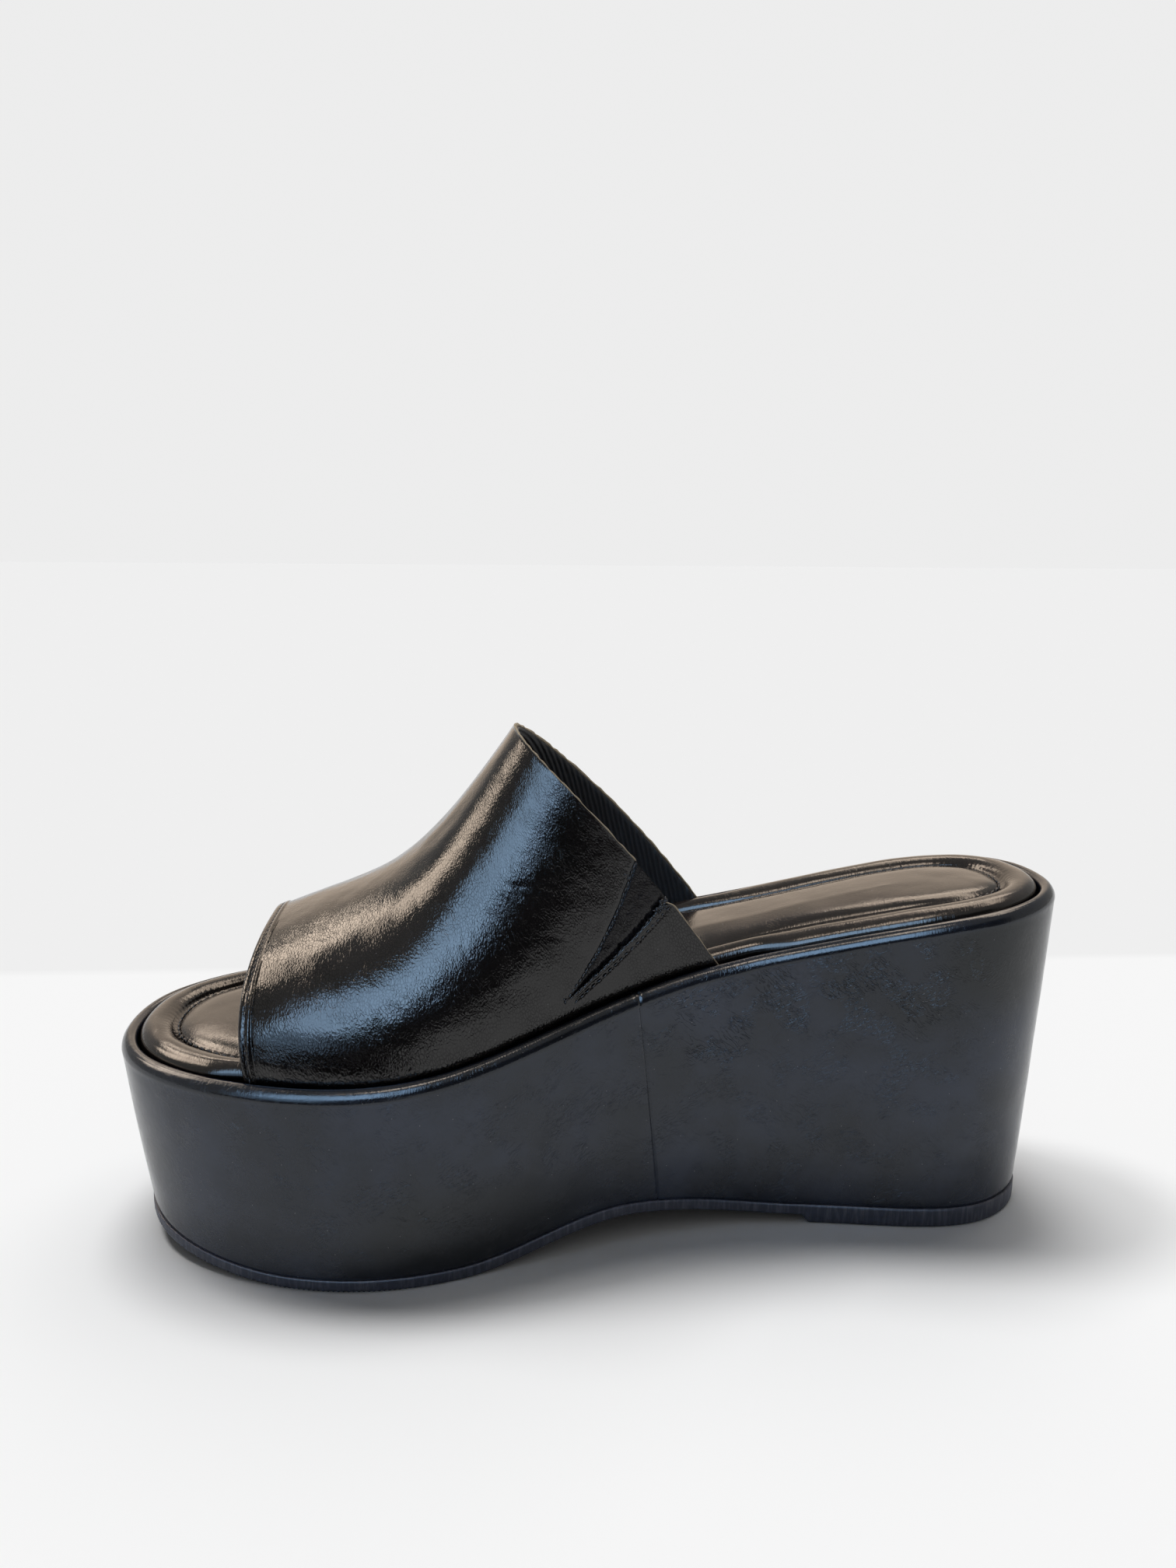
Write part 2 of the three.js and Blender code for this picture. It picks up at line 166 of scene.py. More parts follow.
# Sections of the strap from its front edge (step 0) to the collar (step 1), as in the CAD model
STRAP = table(
    "step medialFoot lateralFoot crest rise shift medialFull lateralFull medialBow lateralBow",
    (0, 0.8395, 0.8395, 0.846, 0.405, -0.074, 2.68, 2.15, 0.0064, 0.0064),
    (0.25, 0.722, 0.718, 0.7806, 0.486, -0.052, 2.53, 2.32, 0.0025, 0.0028),
    (0.5, 0.604, 0.5963, 0.7153, 0.5805, -0.03, 2.4, 2.42, -0.0015, -0.0008),
    (0.75, 0.4864, 0.4747, 0.65, 0.757, -0.0085, 2.31, 2.34, -0.0054, -0.0044),
    (1, 0.3688, 0.3531, 0.5848, 1, 0.0135, 2.25, 2.15, -0.0093, -0.008),
)
STRAP_LENGTH = RIM_LENGTH * (STRAP[0]["medialFoot"] - STRAP[-1]["medialFoot"])

# The notch in the strap's medial side
NOTCH_TIP = {"step": 0.7, "round": 0.112}
NOTCH_UPPER = {"step": 1, "round": 0.314}
NOTCH_LOWER = {"step": 1, "round": 0.211}

# Fineness of the meshes
OUTLINE_COLUMNS = 900
SOLE_COLUMNS = 2400
CURVE_SWEEPS = 80


# Curves and forms of the last

def smooth_curve(places, values, closed=False):
    """The smooth curve through given values that the CAD model uses, for arrays of places."""
    places = np.array(places, float)
    values = np.array(values, float)
    last = len(places) - 1
    span = np.diff(places)
    slope = np.diff(values) / span
    bend = np.zeros(last + 1)
    for _ in range(CURVE_SWEEPS):
        for i in range(0 if closed else 1, last):
            before = (i - 1) % last
            after = (i + 1) % last if closed else i + 1
            bend[i] = 6 * (slope[i] - slope[before]) - span[before] * bend[before] - span[i] * bend[after]
            bend[i] /= 2 * (span[before] + span[i])
        if closed:
            bend[last] = bend[0]

    def at(place):
        place = np.asarray(place, float)
        if closed:
            place = places[0] + np.mod(place - places[0], places[-1] - places[0])
        i = np.clip(np.searchsorted(places, place, side="left") - 1, 0, last - 1)
        a = (places[i + 1] - place) / span[i]
        b = (place - places[i]) / span[i]
        cubic = ((a**3 - a) * bend[i] + (b**3 - b) * bend[i + 1]) * span[i] ** 2 / 6
        return a * values[i] + b * values[i + 1] + cubic

    return at


def smooth_step(share):
    t = np.clip(share, 0, 1)
    return t * t * (3 - 2 * t)


def column(rows, name):
    return [row[name] for row in rows]


def rim_outline():
    """x and y of the rim's outline over 0 to 1, up the medial side to the toe at 0.5 and back."""
    along = [0, *column(OUTLINE, "along"), 1]
    half = [0, *[(row["medial"] + row["lateral"]) / 2 for row in OUTLINE], 0]
    steps = [
        math.sqrt(math.hypot((along[i + 1] - along[i]) * RIM_LENGTH, (half[i + 1] - half[i]) * BALL_WIDTH))
        for i in range(len(along) - 1)
    ]
    places = np.concatenate([[0], np.cumsum(steps + steps[::-1])])
    places /= places[-1]
    x = np.array([*along, *along[-2::-1]]) * RIM_LENGTH
    medial = column(OUTLINE, "medial")
    lateral = [-share for share in column(OUTLINE, "lateral")[::-1]]
    y = np.array([0, *medial, TOE_END_SHARE, *lateral, 0]) * BALL_WIDTH
    return smooth_curve(places, x, True), smooth_curve(places, y, True)


outline_x, outline_y = rim_outline()


class Outline:
    """Points round the rim and their outward direction, at given places."""

    def __init__(self, at):
        reach = 1e-4
        self.at = np.asarray(at, float)
        self.x = outline_x(self.at)
        self.y = outline_y(self.at)
        ax = outline_x(self.at + reach) - outline_x(self.at - reach)
        ay = outline_y(self.at + reach) - outline_y(self.at - reach)
        size = np.hypot(ax, ay)
        self.out_x = -ay / size
        self.out_y = ax / size
        steps = np.hypot(np.diff(self.x, append=self.x[0]), np.diff(self.y, append=self.y[0]))
        self.walk = np.concatenate([[0], np.cumsum(steps)[:-1]])
        self.girth = steps.sum()

    def inset(self, distance):
        return self.x - self.out_x * distance, self.y - self.out_y * distance


rim_climb = smooth_curve(column(RIM_LINE, "along"), column(RIM_LINE, "climb"))


def rim_top(x):
    return FOREFOOT_HEIGHT + (HEEL_HEIGHT - FOREFOOT_HEIGHT) * rim_climb(np.clip(x / RIM_LENGTH, 0, 1))


def deck_top(x):
    return rim_top(x) - RIM_DEPTH


def sole_underside(x):
    share = x / RIM_LENGTH

    def between(start, end):
        return (share - start) / (end - start)

    rising = HEEL_LIFT + (ARCH_HEIGHT - HEEL_LIFT) * smooth_step(between(WAIST_SHARE, ARCH_SHARE))
    falling = ARCH_HEIGHT * (1 - smooth_step(between(ARCH_SHARE, BALL_SHARE)))
    spring = TOE_SPRING * np.maximum(0, between(TOE_SHARE, 1)) ** TOE_POWER
    return np.where(share < ARCH_SHARE, rising, falling) + spring


def wall_tuck(out_x):
    end_tuck = np.where(out_x > 0, TOE_TUCK, HEEL_TUCK)
    return SIDE_TUCK + (end_tuck - SIDE_TUCK) * out_x**2


def insole_inset(x):
    back = STRAP[-1]["lateralFoot"] * RIM_LENGTH - STRAP_MARGIN
    front = STRAP[0]["medialFoot"] * RIM_LENGTH + STRAP_MARGIN
    beside = smooth_step((x - back + STRAP_EASE) / STRAP_EASE)
    beside = beside * smooth_step((front + STRAP_EASE - x) / STRAP_EASE)
    open_inset = RIM_WIDTH + PAD_GAP
    return open_inset + (STRAP_INSET + STRAP_WALL + GAP - open_inset) * beside


def channel_side(medial):
    """y of the strap's channel at a given x, on one side."""
    ring = Outline(np.arange(1536) / 1536)
    x, y = ring.inset(STRAP_INSET)
    side = y > 0 if medial else y < 0
    order = np.argsort(x[side])
    return x[side][order], y[side][order]


CHANNEL = {"medial": channel_side(True), "lateral": channel_side(False)}
strap_curve = {
    name: smooth_curve(column(STRAP, "step"), column(STRAP, name)) for name in STRAP[0] if name != "step"
}


def strap_point(step, round_):
    """The strap's outer face. round_ runs from the medial channel (0) over the crest (1) to the lateral (2)."""
    step, round_ = np.broadcast_arrays(np.asarray(step, float), np.asarray(round_, float))
    medial = round_ <= 1
    turn = np.pi / 2 * np.where(medial, round_, 2 - round_)
    turn = np.clip(turn, 0, np.pi / 2)

    def sided(name):
        return np.where(medial, strap_curve["medial" + name](step), strap_curve["lateral" + name](step))

    full = sided("Full")
    reach = (np.cos(turn) ** full + np.sin(turn) ** full) ** (-1 / full)
    out = reach * np.cos(turn)
    up = reach * np.sin(turn)
    foot = sided("Foot")
    bow = sided("Bow") * 4 * up * (1 - up)
    x = (foot + (strap_curve["crest"](step) - foot) * up + bow) * RIM_LENGTH
    side_y = np.where(medial, np.interp(x, *CHANNEL["medial"]), np.interp(x, *CHANNEL["lateral"]))
    y = strap_curve["shift"](step) * BALL_WIDTH * (1 - out) + side_y * out
    z = deck_top(x) + GAP + strap_curve["rise"](step) * INSTEP_RISE * up
    return np.stack([x, y, z], -1)


def strap_normal(step, round_):
    reach = 2e-3
    along = strap_point(step + reach, round_) - strap_point(step - reach, round_)
    low = np.maximum(round_ - reach, 0)
    high = np.minimum(round_ + reach, 2)
    across = strap_point(step, high) - strap_point(step, low)
    normal = np.cross(along, across)
    return normal / np.linalg.norm(normal, axis=-1, keepdims=True)


# Seeded soft noise, for forms that differ along a piece

def soft_noise(u, v, cell, seed, wrap=None):
    """Smooth noise from -1 to 1 over u and v in millimetres, with hills about a cell wide."""
    rng = np.random.RandomState(seed)
    size = 64
    grid = rng.uniform(-1, 1, (size, size))
    u = np.asarray(u, float) / cell
    v = np.asarray(v, float) / cell
    period = size if wrap is None else max(1, round(wrap / cell))
    if wrap is not None:
        u = u * period / (wrap / cell)
    iu = np.floor(u).astype(int)
    iv = np.floor(v).astype(int)
    fu = smooth_step(u - iu)
    fv = smooth_step(v - iv)

    def value(a, b):
        return grid[(a % period) % size, b % size]

    low = value(iu, iv) * (1 - fu) + value(iu + 1, iv) * fu
    high = value(iu, iv + 1) * (1 - fu) + value(iu + 1, iv + 1) * fu
    return low * (1 - fv) + high * fv


def crease_depth(u, v, creases):
    """Soft troughs with a low ridge on each side. A crease runs from (u0, v0) to (u1, v1), in millimetres."""
    total = np.zeros(np.broadcast(u, v).shape)
    for c in creases:
        du, dv = c["u1"] - c["u0"], c["v1"] - c["v0"]
        length = math.hypot(du, dv)
        share = ((u - c["u0"]) * du + (v - c["v0"]) * dv) / length**2
        bow = c.get("bow", 0) * 4 * share * (1 - share)
        off = ((u - c["u0"]) * dv - (v - c["v0"]) * du) / length + bow
        fade = smooth_step(share / 0.3) * smooth_step((1 - share) / 0.3)
        r = off / c["width"]
        total += c["depth"] * fade * ((1 - 0.9 * r * r) * np.exp(-r * r))
    return total


# Meshes

ring_now = Outline(np.arange(OUTLINE_COLUMNS) / OUTLINE_COLUMNS)
ORIGIN = np.array([-RIM_LENGTH / 2, -(ring_now.y.min() + ring_now.y.max()) / 2, 0.0])


def place(points):
    """Millimetres of the sandal's own frame to metres of the row frame."""
    return (np.asarray(points, float) + ORIGIN) * MM


def make_piece(name, points, faces, uv=None, wrap=None, node=None, slot=None, material=None, **layers):
    """A smooth mesh object from points in millimetres and faces, riding on the root body.

    uv is given per point. wrap is the length after which its first value starts again.
    Every further keyword is a layer of one number per point."""
    mesh = bpy.data.meshes.new(name)
    mesh.from_pydata(place(points).tolist(), [], [list(map(int, f)) for f in faces])
    if uv is not None:
        layer = mesh.uv_layers.new(name="surface")
        corner = np.empty(len(mesh.loops), int)
        mesh.loops.foreach_get("vertex_index", corner)
        flat = np.asarray(uv, float)[corner]
        if wrap:
            starts = np.empty(len(mesh.polygons), int)
            totals = np.empty(len(mesh.polygons), int)
            mesh.polygons.foreach_get("loop_start", starts)
            mesh.polygons.foreach_get("loop_total", totals)
            far = np.maximum.reduceat(flat[:, 0], starts) > 0.75 * wrap
            near = np.minimum.reduceat(flat[:, 0], starts) < 0.25 * wrap
            crosses = np.repeat(far & near, totals)
            flat[:, 0] += np.where(crosses & (flat[:, 0] < 0.5 * wrap), wrap, 0)
        layer.data.foreach_set("uv", flat.ravel())
    for key, values in layers.items():
        mesh.attributes.new(key, "FLOAT", "POINT").data.foreach_set("value", np.asarray(values, float).ravel())
    mesh.validate()
    mesh.shade_smooth()
    piece = bpy.data.objects.new(name, mesh)
    bpy.context.scene.collection.objects.link(piece)
    if material:
        mesh.materials.append(material)
    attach(piece, "root")
    if node:
        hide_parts(node)
    return piece


def ring_faces(levels, count, flip=False):
    """Quads between closed rings of equal count."""
    i = np.arange(count)
    nxt = (i + 1) % count
    faces = []
    for level in range(levels - 1):
        a, b = level * count + i, level * count + nxt
        quad = np.stack([a, b, b + count, a + count], 1)
        faces.append(quad[:, ::-1] if flip else quad)
    return np.concatenate(faces)


def cap_faces(start, count, flip=False):
    """Strips across a ring, between the points that mirror each other."""
    faces = []
    for i in range(count // 2):
        left, right = i, (count - i) % count
        low_left, low_right = left + 1, (right - 1) % count
        if i == 0:
            faces.append([left, low_right, low_left])
        elif low_left == low_right:
            faces.append([left, right, low_left])
        else:
            faces.append([left, right, low_right, low_left])
    faces = [[start + k for k in f] for f in faces]
    return [f[::-1] for f in faces] if flip else faces


def build_rings(name, rings, walk=None, **kwargs):
    """A closed body from rings of x, y, z arrays. walk is the way round, for the surface coordinates."""
    count = len(rings[0][0])
    grid = np.array([np.stack(ring, 1) for ring in rings])
    faces = ring_faces(len(rings), count).tolist()
    faces += cap_faces(0, count)
    faces += cap_faces((len(rings) - 1) * count, count, flip=True)
    points = grid.reshape(-1, 3)
    if walk is None:
        uv = points[:, :2]
        wrap = None
    else:
        steps = np.linalg.norm(np.diff(grid, axis=0), axis=2)
        rise = np.concatenate([np.zeros((1, count)), np.cumsum(steps, axis=0)])
        uv = np.stack([np.broadcast_to(walk, rise.shape), rise], -1).reshape(-1, 2)
        wrap = walk[-1] + (walk[-1] - walk[-2])
    return make_piece(name, points, faces, uv=uv, wrap=wrap, **kwargs)


# Materials

DUST = (0.35, 0.36, 0.38, 1)


def node(tree, kind, inputs=None, **settings):
    """A new node, with its inputs linked to sockets or set to values."""
    made = tree.nodes.new("ShaderNode" + kind)
    for name, value in settings.items():
        setattr(made, name, value)
    for name, value in (inputs or {}).items():
        socket = made.inputs[name]
        if isinstance(value, bpy.types.NodeSocket):
            tree.links.new(value, socket)
        else:
            socket.default_value = value
    return made


def math_node(tree, operation, a, b=0.0):
    return node(tree, "Math", {0: a, 1: b}, operation=operation).outputs[0]


def ramp(tree, value, stops):
    """A value through a list of (place, value) stops."""
    made = node(tree, "ValToRGB", {"Fac": value})
    elements = made.color_ramp.elements
    while len(elements) < len(stops):
        elements.new(0.5)
    for element, (at, level) in zip(elements, stops):
        element.position = at
        element.color = (level, level, level, 1) if isinstance(level, (int, float)) else (*level, 1)
    return made.outputs["Color"]


def noise(tree, coords, size, detail=2.0, rough=0.5, dimensions="2D"):
    """Noise whose hills are about size wide, in the unit of the coordinates."""
    inputs = {"Vector": coords, "Scale": 1 / size, "Detail": detail, "Roughness": rough}
    return node(tree, "TexNoise", inputs, noise_dimensions=dimensions).outputs["Fac"]


def solid_noise(tree, coords, size, detail=2.0, rough=0.5):
    """Noise through a body, on coordinates in metres, whose hills are about size millimetres wide."""
    return noise(tree, coords, size * MM, detail, rough, "3D")


def cells(tree, coords, size, feature="F1"):
    """Distance to the middle, or to the edge, of cells of a size in millimetres."""
    inputs = {"Vector": coords, "Scale": 1 / size, "Randomness": 1.0}
    return node(tree, "TexVoronoi", inputs, voronoi_dimensions="2D", feature=feature).outputs["Distance"]


def layer(tree, name):
    """One of the layers of numbers that a piece's mesh carries."""
    return node(tree, "Attribute", attribute_name=name).outputs["Fac"]


def product(tree, first, *others):
    for other in others:
        first = math_node(tree, "MULTIPLY", first, other)
    return first


def shifted(tree, coords, by):
    return node(tree, "VectorMath", {0: coords, 1: by}, operation="ADD").outputs[0]


def grey(level):
    return (level, level, level, 1)


def mix_colour(tree, share, a, b):
    made = node(tree, "Mix", {0: share, 6: a, 7: b}, data_type="RGBA")
    return made.outputs[2]


def bump(tree, height, depth, normal=None, strength=1.0):
    inputs = {"Height": height, "Distance": depth * MM, "Strength": strength}
    if normal is not None:
        inputs["Normal"] = normal
    return node(tree, "Bump", inputs).outputs["Normal"]


def new_material(name):
    material = bpy.data.materials.new(name)
    material.use_nodes = True
    material.node_tree.nodes.clear()
    return material, material.node_tree


def finish_material(tree, inputs):
    shader = node(tree, "BsdfPrincipled", inputs)
    node(tree, "OutputMaterial", {"Surface": shader.outputs[0]})


def surface(tree):
    """Millimetres along and across a piece's own surface."""
    return node(tree, "UVMap", uv_map="surface").outputs[0]


def stretched(tree, coords, x=1, y=1, z=1):
    return node(tree, "Mapping", {"Vector": coords, "Scale": (x, y, z)}).outputs[0]


def warped(tree, coords, size, reach):
    """Coordinates pushed about by soft noise, so that a pattern on them runs unevenly."""
    inputs = {"Vector": coords, "Scale": 1 / size, "Detail": 1.0}
    drift = node(tree, "TexNoise", inputs, noise_dimensions="2D").outputs["Color"]
    drift = node(tree, "VectorMath", {0: drift, 1: (0.5, 0.5, 0.5)}, operation="SUBTRACT").outputs[0]
    drift = node(tree, "VectorMath", {0: drift, "Scale": reach}, operation="SCALE").outputs[0]
    return shifted(tree, coords, drift)


def cell_edges(tree, coords, size, thin):
    """1 along thin lines between cells of a size in millimetres, 0 inside the cells."""
    return ramp(tree, cells(tree, coords, size, "DISTANCE_TO_EDGE"), [(0.0, 1.0), (thin, 0.0)])


def fold_lines(tree, coords, angle, size, length, thin):
    """1 along thin wavy folds that run at an angle, each about length times as long as they lie apart."""
    rotation = (0, 0, math.radians(angle))
    turned = node(tree, "Mapping", {"Vector": coords, "Rotation": rotation}).outputs[0]
    waves = noise(tree, stretched(tree, turned, x=1 / length), size, detail=2.0, rough=0.6)
    off = math_node(tree, "ABSOLUTE", math_node(tree, "SUBTRACT", waves, 0.5))
    return ramp(tree, off, [(0.0, 1.0), (thin, 0.0)])


def summed(tree, heights):
    """The sum of (depth in millimetres, height) pairs."""
    total = 0.0
    for depth, height in heights:
        inputs = {0: height, 1: depth, 2: total}
        total = node(tree, "Math", inputs, operation="MULTIPLY_ADD").outputs[0]
    return total


# The leather's pattern: runs of the two sets of worn folds, how far painted shade darkens the crazing lines,
# and how far the fresh gloss varies
WORN_FOLDS = table("angle size length shift", (28, 0.9, 4.5, 0.0), (-42, 1.1, 4.0, 40.0))
CRAZE_LINE_SHADE = 0.55
DULL_PER_GRAIN = 15


def leather(
    name, tint, gloss, grain_size, grain, waves, webs, crazing=0.0, crinkle=0.0, sheen=(1, 1, 1), edge=None,
    shine=0.5,
):
    """Coated leather: grain in stretched cells with gaps, strands, soft waves, folds in patches, and dust.

    grain_size is in millimetres, and so are the depths grain, waves, webs, crazing and crinkle.
    The mesh layers worn, dim, rolled and pale say where crazing, painted shade with random mottle, crinkles and
    the raw edge lie."""
    material, tree = new_material(name)
    uv = surface(tree)
    pushed = warped(tree, uv, size=3.0, reach=1.2)
    long_cells = stretched(tree, pushed, y=0.62)
    gaps = cell_edges(tree, long_cells, grain_size * 1.1, thin=0.22)
    patches = ramp(tree, noise(tree, uv, 15.0, detail=3.0, rough=0.6), [(0.46, 0.0), (0.66, 1.0)])
    web = fold_lines(tree, pushed, angle=72, size=1.5, length=2.6, thin=0.028)
    heights = [
        (waves, noise(tree, uv, 8.0, detail=1.0)),
        (waves * 0.28, noise(tree, pushed, 2.4, detail=1.0)),
        (-grain * 0.8, cells(tree, long_cells, grain_size)),
        (-grain * 0.38, gaps),
        (grain * 0.5, noise(tree, stretched(tree, pushed, y=0.16), 0.6, rough=0.6)),
        (-webs, product(tree, web, patches)),
    ]
    if crinkle:
        folds = noise(tree, stretched(tree, pushed, y=0.2), 0.42, rough=0.6)
        heights.append((crinkle, product(tree, folds, layer(tree, "rolled"))))
    tone = noise(tree, uv, 24.0, detail=4.0, rough=0.6)
    low, high = tuple(c * 0.6 for c in tint), tuple(c * 1.4 for c in tint)
    colour = ramp(tree, tone, [(0.35, low), (0.68, high)])
    if crazing:
        where = layer(tree, "worn")
        for fold in WORN_FOLDS:
            coords = shifted(tree, pushed, (fold["shift"], fold["shift"], 0))
            lines = fold_lines(tree, coords, fold["angle"], fold["size"], fold["length"], thin=0.035)
            blotch = ramp(tree, noise(tree, coords, 9.0, detail=1.0), [(0.42, 0.0), (0.62, 1.0)])
            lines = product(tree, lines, where, blotch)
            heights.append((-crazing, lines))
            # Painted shade: the crazing lines are darkened in the colour, while their bump is the wear itself.
            colour = mix_colour(tree, product(tree, lines, CRAZE_LINE_SHADE), colour, grey(0.001))
        # Painted shade: the colour darkens to near black as far as the mesh's layer of painted shade and mottle
        # says.
        colour = mix_colour(tree, layer(tree, "dim"), colour, grey(0.002))
    normal = bump(tree, summed(tree, heights), 1.0)
    dust = ramp(tree, cells(tree, uv, 11), [(0.0, 0.8), (0.012, 0.0)])
    cloud = noise(tree, uv, 13.0, detail=3.0, rough=0.6)
    rough = ramp(tree, cloud, [(0.35, gloss * 0.85), (0.7, gloss * 1.25)])
    fresh = ramp(tree, cloud, [(0.35, 1.0), (0.62, 0.25)])
    dull = product(tree, gaps, fresh, min(1.0, grain * DULL_PER_GRAIN) * shine)
    inputs = {
        "Base Color": mix_colour(tree, dust, colour, DUST),
        "Roughness": rough,
        "Specular Tint": (*sheen, 1),
        "Specular IOR Level": math_node(tree, "SUBTRACT", shine, dull),
        "Normal": normal,
    }
    if edge:
        pale = layer(tree, "pale")
        inputs["Base Color"] = mix_colour(tree, pale, inputs["Base Color"], (*edge, 1))
        inputs["Roughness"] = math_node(tree, "MAXIMUM", rough, pale)
    finish_material(tree, inputs)
    return material


def rubber(name):
    """Matte dark rubber with vertical scratches, rubbed lighter in places."""
    material, tree = new_material(name)
    coords = node(tree, "TexCoord").outputs["Object"]
    scratches = solid_noise(tree, stretched(tree, coords, z=0.12), 0.9, detail=3.0, rough=0.6)
    scuffs = solid_noise(tree, coords, 8.0, detail=4.0, rough=0.65)
    share = product(tree, ramp(tree, scratches, [(0.46, 0.0), (0.7, 1.0)]), scuffs)
    colour = mix_colour(tree, share, (0.022, 0.026, 0.042, 1), (0.11, 0.12, 0.15, 1))
    normal = bump(tree, scratches, 0.05)
    normal = bump(tree, solid_noise(tree, coords, 0.5), 0.02, normal)
    finish_material(tree, {"Base Color": colour, "Roughness": 0.5, "Normal": normal})
    return material


def ribbed_lining(name):
    """Black stretch fabric with fine ribs along the strap's collar, its colour lighter on the crests and darker
    in the troughs as painted highlight and shade.
    """
    material, tree = new_material(name)
    uv = surface(tree)
    u = node(tree, "SeparateXYZ", {0: warped(tree, uv, 6.0, 0.5)}).outputs["X"]
    ribs = math_node(tree, "SINE", math_node(tree, "MULTIPLY", u, TURN / RIB_PITCH))
    ribs = math_node(tree, "MULTIPLY", math_node(tree, "ADD", ribs, 1.0), 0.5)
    weave = noise(tree, stretched(tree, uv, y=2.0), 0.4)
    normal = bump(tree, ribs, 0.25)
    normal = bump(tree, weave, 0.08, normal)
    # Painted highlight and shade: lighter on the rib crests, darker in the troughs between them.
    colour = ramp(tree, ribs, [(0.2, (0.0015, 0.0015, 0.002)), (0.9, (0.012, 0.012, 0.014))])
    finish_material(tree, {
        "Base Color": colour,
        "Roughness": 0.6,
        "Normal": normal,
        "Sheen Weight": 0.1,
        "Sheen Roughness": 0.4,
    })
    return material


def thread_material(name):
    material, tree = new_material(name)
    coords = node(tree, "TexCoord").outputs["Object"]
    twist = solid_noise(tree, coords, 0.3)
    colour = ramp(tree, twist, [(0.3, (0.004, 0.004, 0.005)), (0.8, (0.02, 0.02, 0.024))])
    finish_material(tree, {"Base Color": colour, "Roughness": 0.45, "Normal": bump(tree, twist, 0.03)})
    return material


def paper(name, light, dark, edge):
    """The pale floor: lighter near the sandal, a little darker behind the edge."""
    material, tree = new_material(name)
    coords = node(tree, "TexCoord").outputs["Object"]
    y = node(tree, "SeparateXYZ", {0: coords}).outputs["Y"]
    share = node(
        tree, "MapRange",
        {"Value": y, "From Min": edge - 0.004, "From Max": edge + 0.004, "To Min": 0.0, "To Max": 1.0},
    ).outputs[0]
    colour = mix_colour(tree, share, grey(dark), grey(light))
    shader = node(tree, "BsdfDiffuse", {"Color": colour})
    node(tree, "OutputMaterial", {"Surface": shader.outputs[0]})
    return material


# The studio: a pale floor, three soft overhead lights for the shadows, and panes for the gloss to mirror

FLOOR_LIGHT = 0.93
FLOOR_DARK = 0.865
FLOOR_EDGE = -0.174
BACKDROP = 0.845
DOME = 0.122
SHADE_LIGHTS = table(
    "name azimuth elevation angle strength",
    ("shade_top", -169, 72, 23, 1.47),
    ("shade_toe", -124, 64, 14, 0.965),
    ("shade_heel", 148, 56, 42, 0.59),
)

# What the gloss sees. Azimuth 0 is the medial side, 90 the heel, -90 the toe. All in degrees.
ROOM = (0.44, 0.43, 0.41)
WARM = (1.22, 1.0, 0.8)
COOL = (0.64, 0.96, 1.36)
PANES = table(
    "azimuth elevation width height soft radiance tint tilt",
    (180, 5, 66, 62, 22, 0.95, WARM, 0),
    (6, 6, 100, 60, 14, 0.06, (1, 1, 1), 0),
    (-37, 13, 30, 18, 9, 1.7, COOL, 0),
    (-10, 37, 26, 29, 6, 6.4, COOL, 0),
    (-35, 36, 27, 31, 7, 5.3, COOL, 0),
    (-131, 43, 24, 12, 5, 8.0, WARM, 14),
    (-107, 38, 24, 23, 6, 7.8, WARM, 0),
    (-154, 33, 18, 6, 3, 5.5, WARM, 0),
    (158, 46, 38, 15, 5, 4.6, WARM, 0),
    (125, 61, 90, 12, 5, 5.5, WARM, 0),
    (-12, 72, 34, 18, 6, 8.0, WARM, 0),
)


def light_direction(azimuth, elevation):
    """Unit vector to a light. Azimuth 0 is the medial side and turns towards the heel."""
    a, e = math.radians(azimuth), math.radians(elevation)
    return Vector((-math.sin(a) * math.cos(e), math.cos(a) * math.cos(e), math.sin(e)))


def shade_light(light):
    """A wide soft light from far off, which shows in the shadows and not in the gloss."""
    data = bpy.data.lights.new(light["name"], "SUN")
    data.energy = light["strength"]
    data.angle = math.radians(light["angle"])
    lamp = bpy.data.objects.new(light["name"], data)
    turn = light_direction(light["azimuth"], light["elevation"]).to_track_quat("Z", "Y")
    lamp.rotation_euler = turn.to_euler()
    lamp.visible_glossy = False
    bpy.context.scene.collection.objects.link(lamp)


def fade(tree, value, half, soft):
    """1 where the value's size is under half, 0 beyond, with a soft edge."""
    return node(
        tree, "MapRange",
        {"Value": math_node(tree, "ABSOLUTE", value), "From Min": half + soft / 2, "From Max": half - soft / 2},
        interpolation_type="SMOOTHSTEP",
    ).outputs[0]


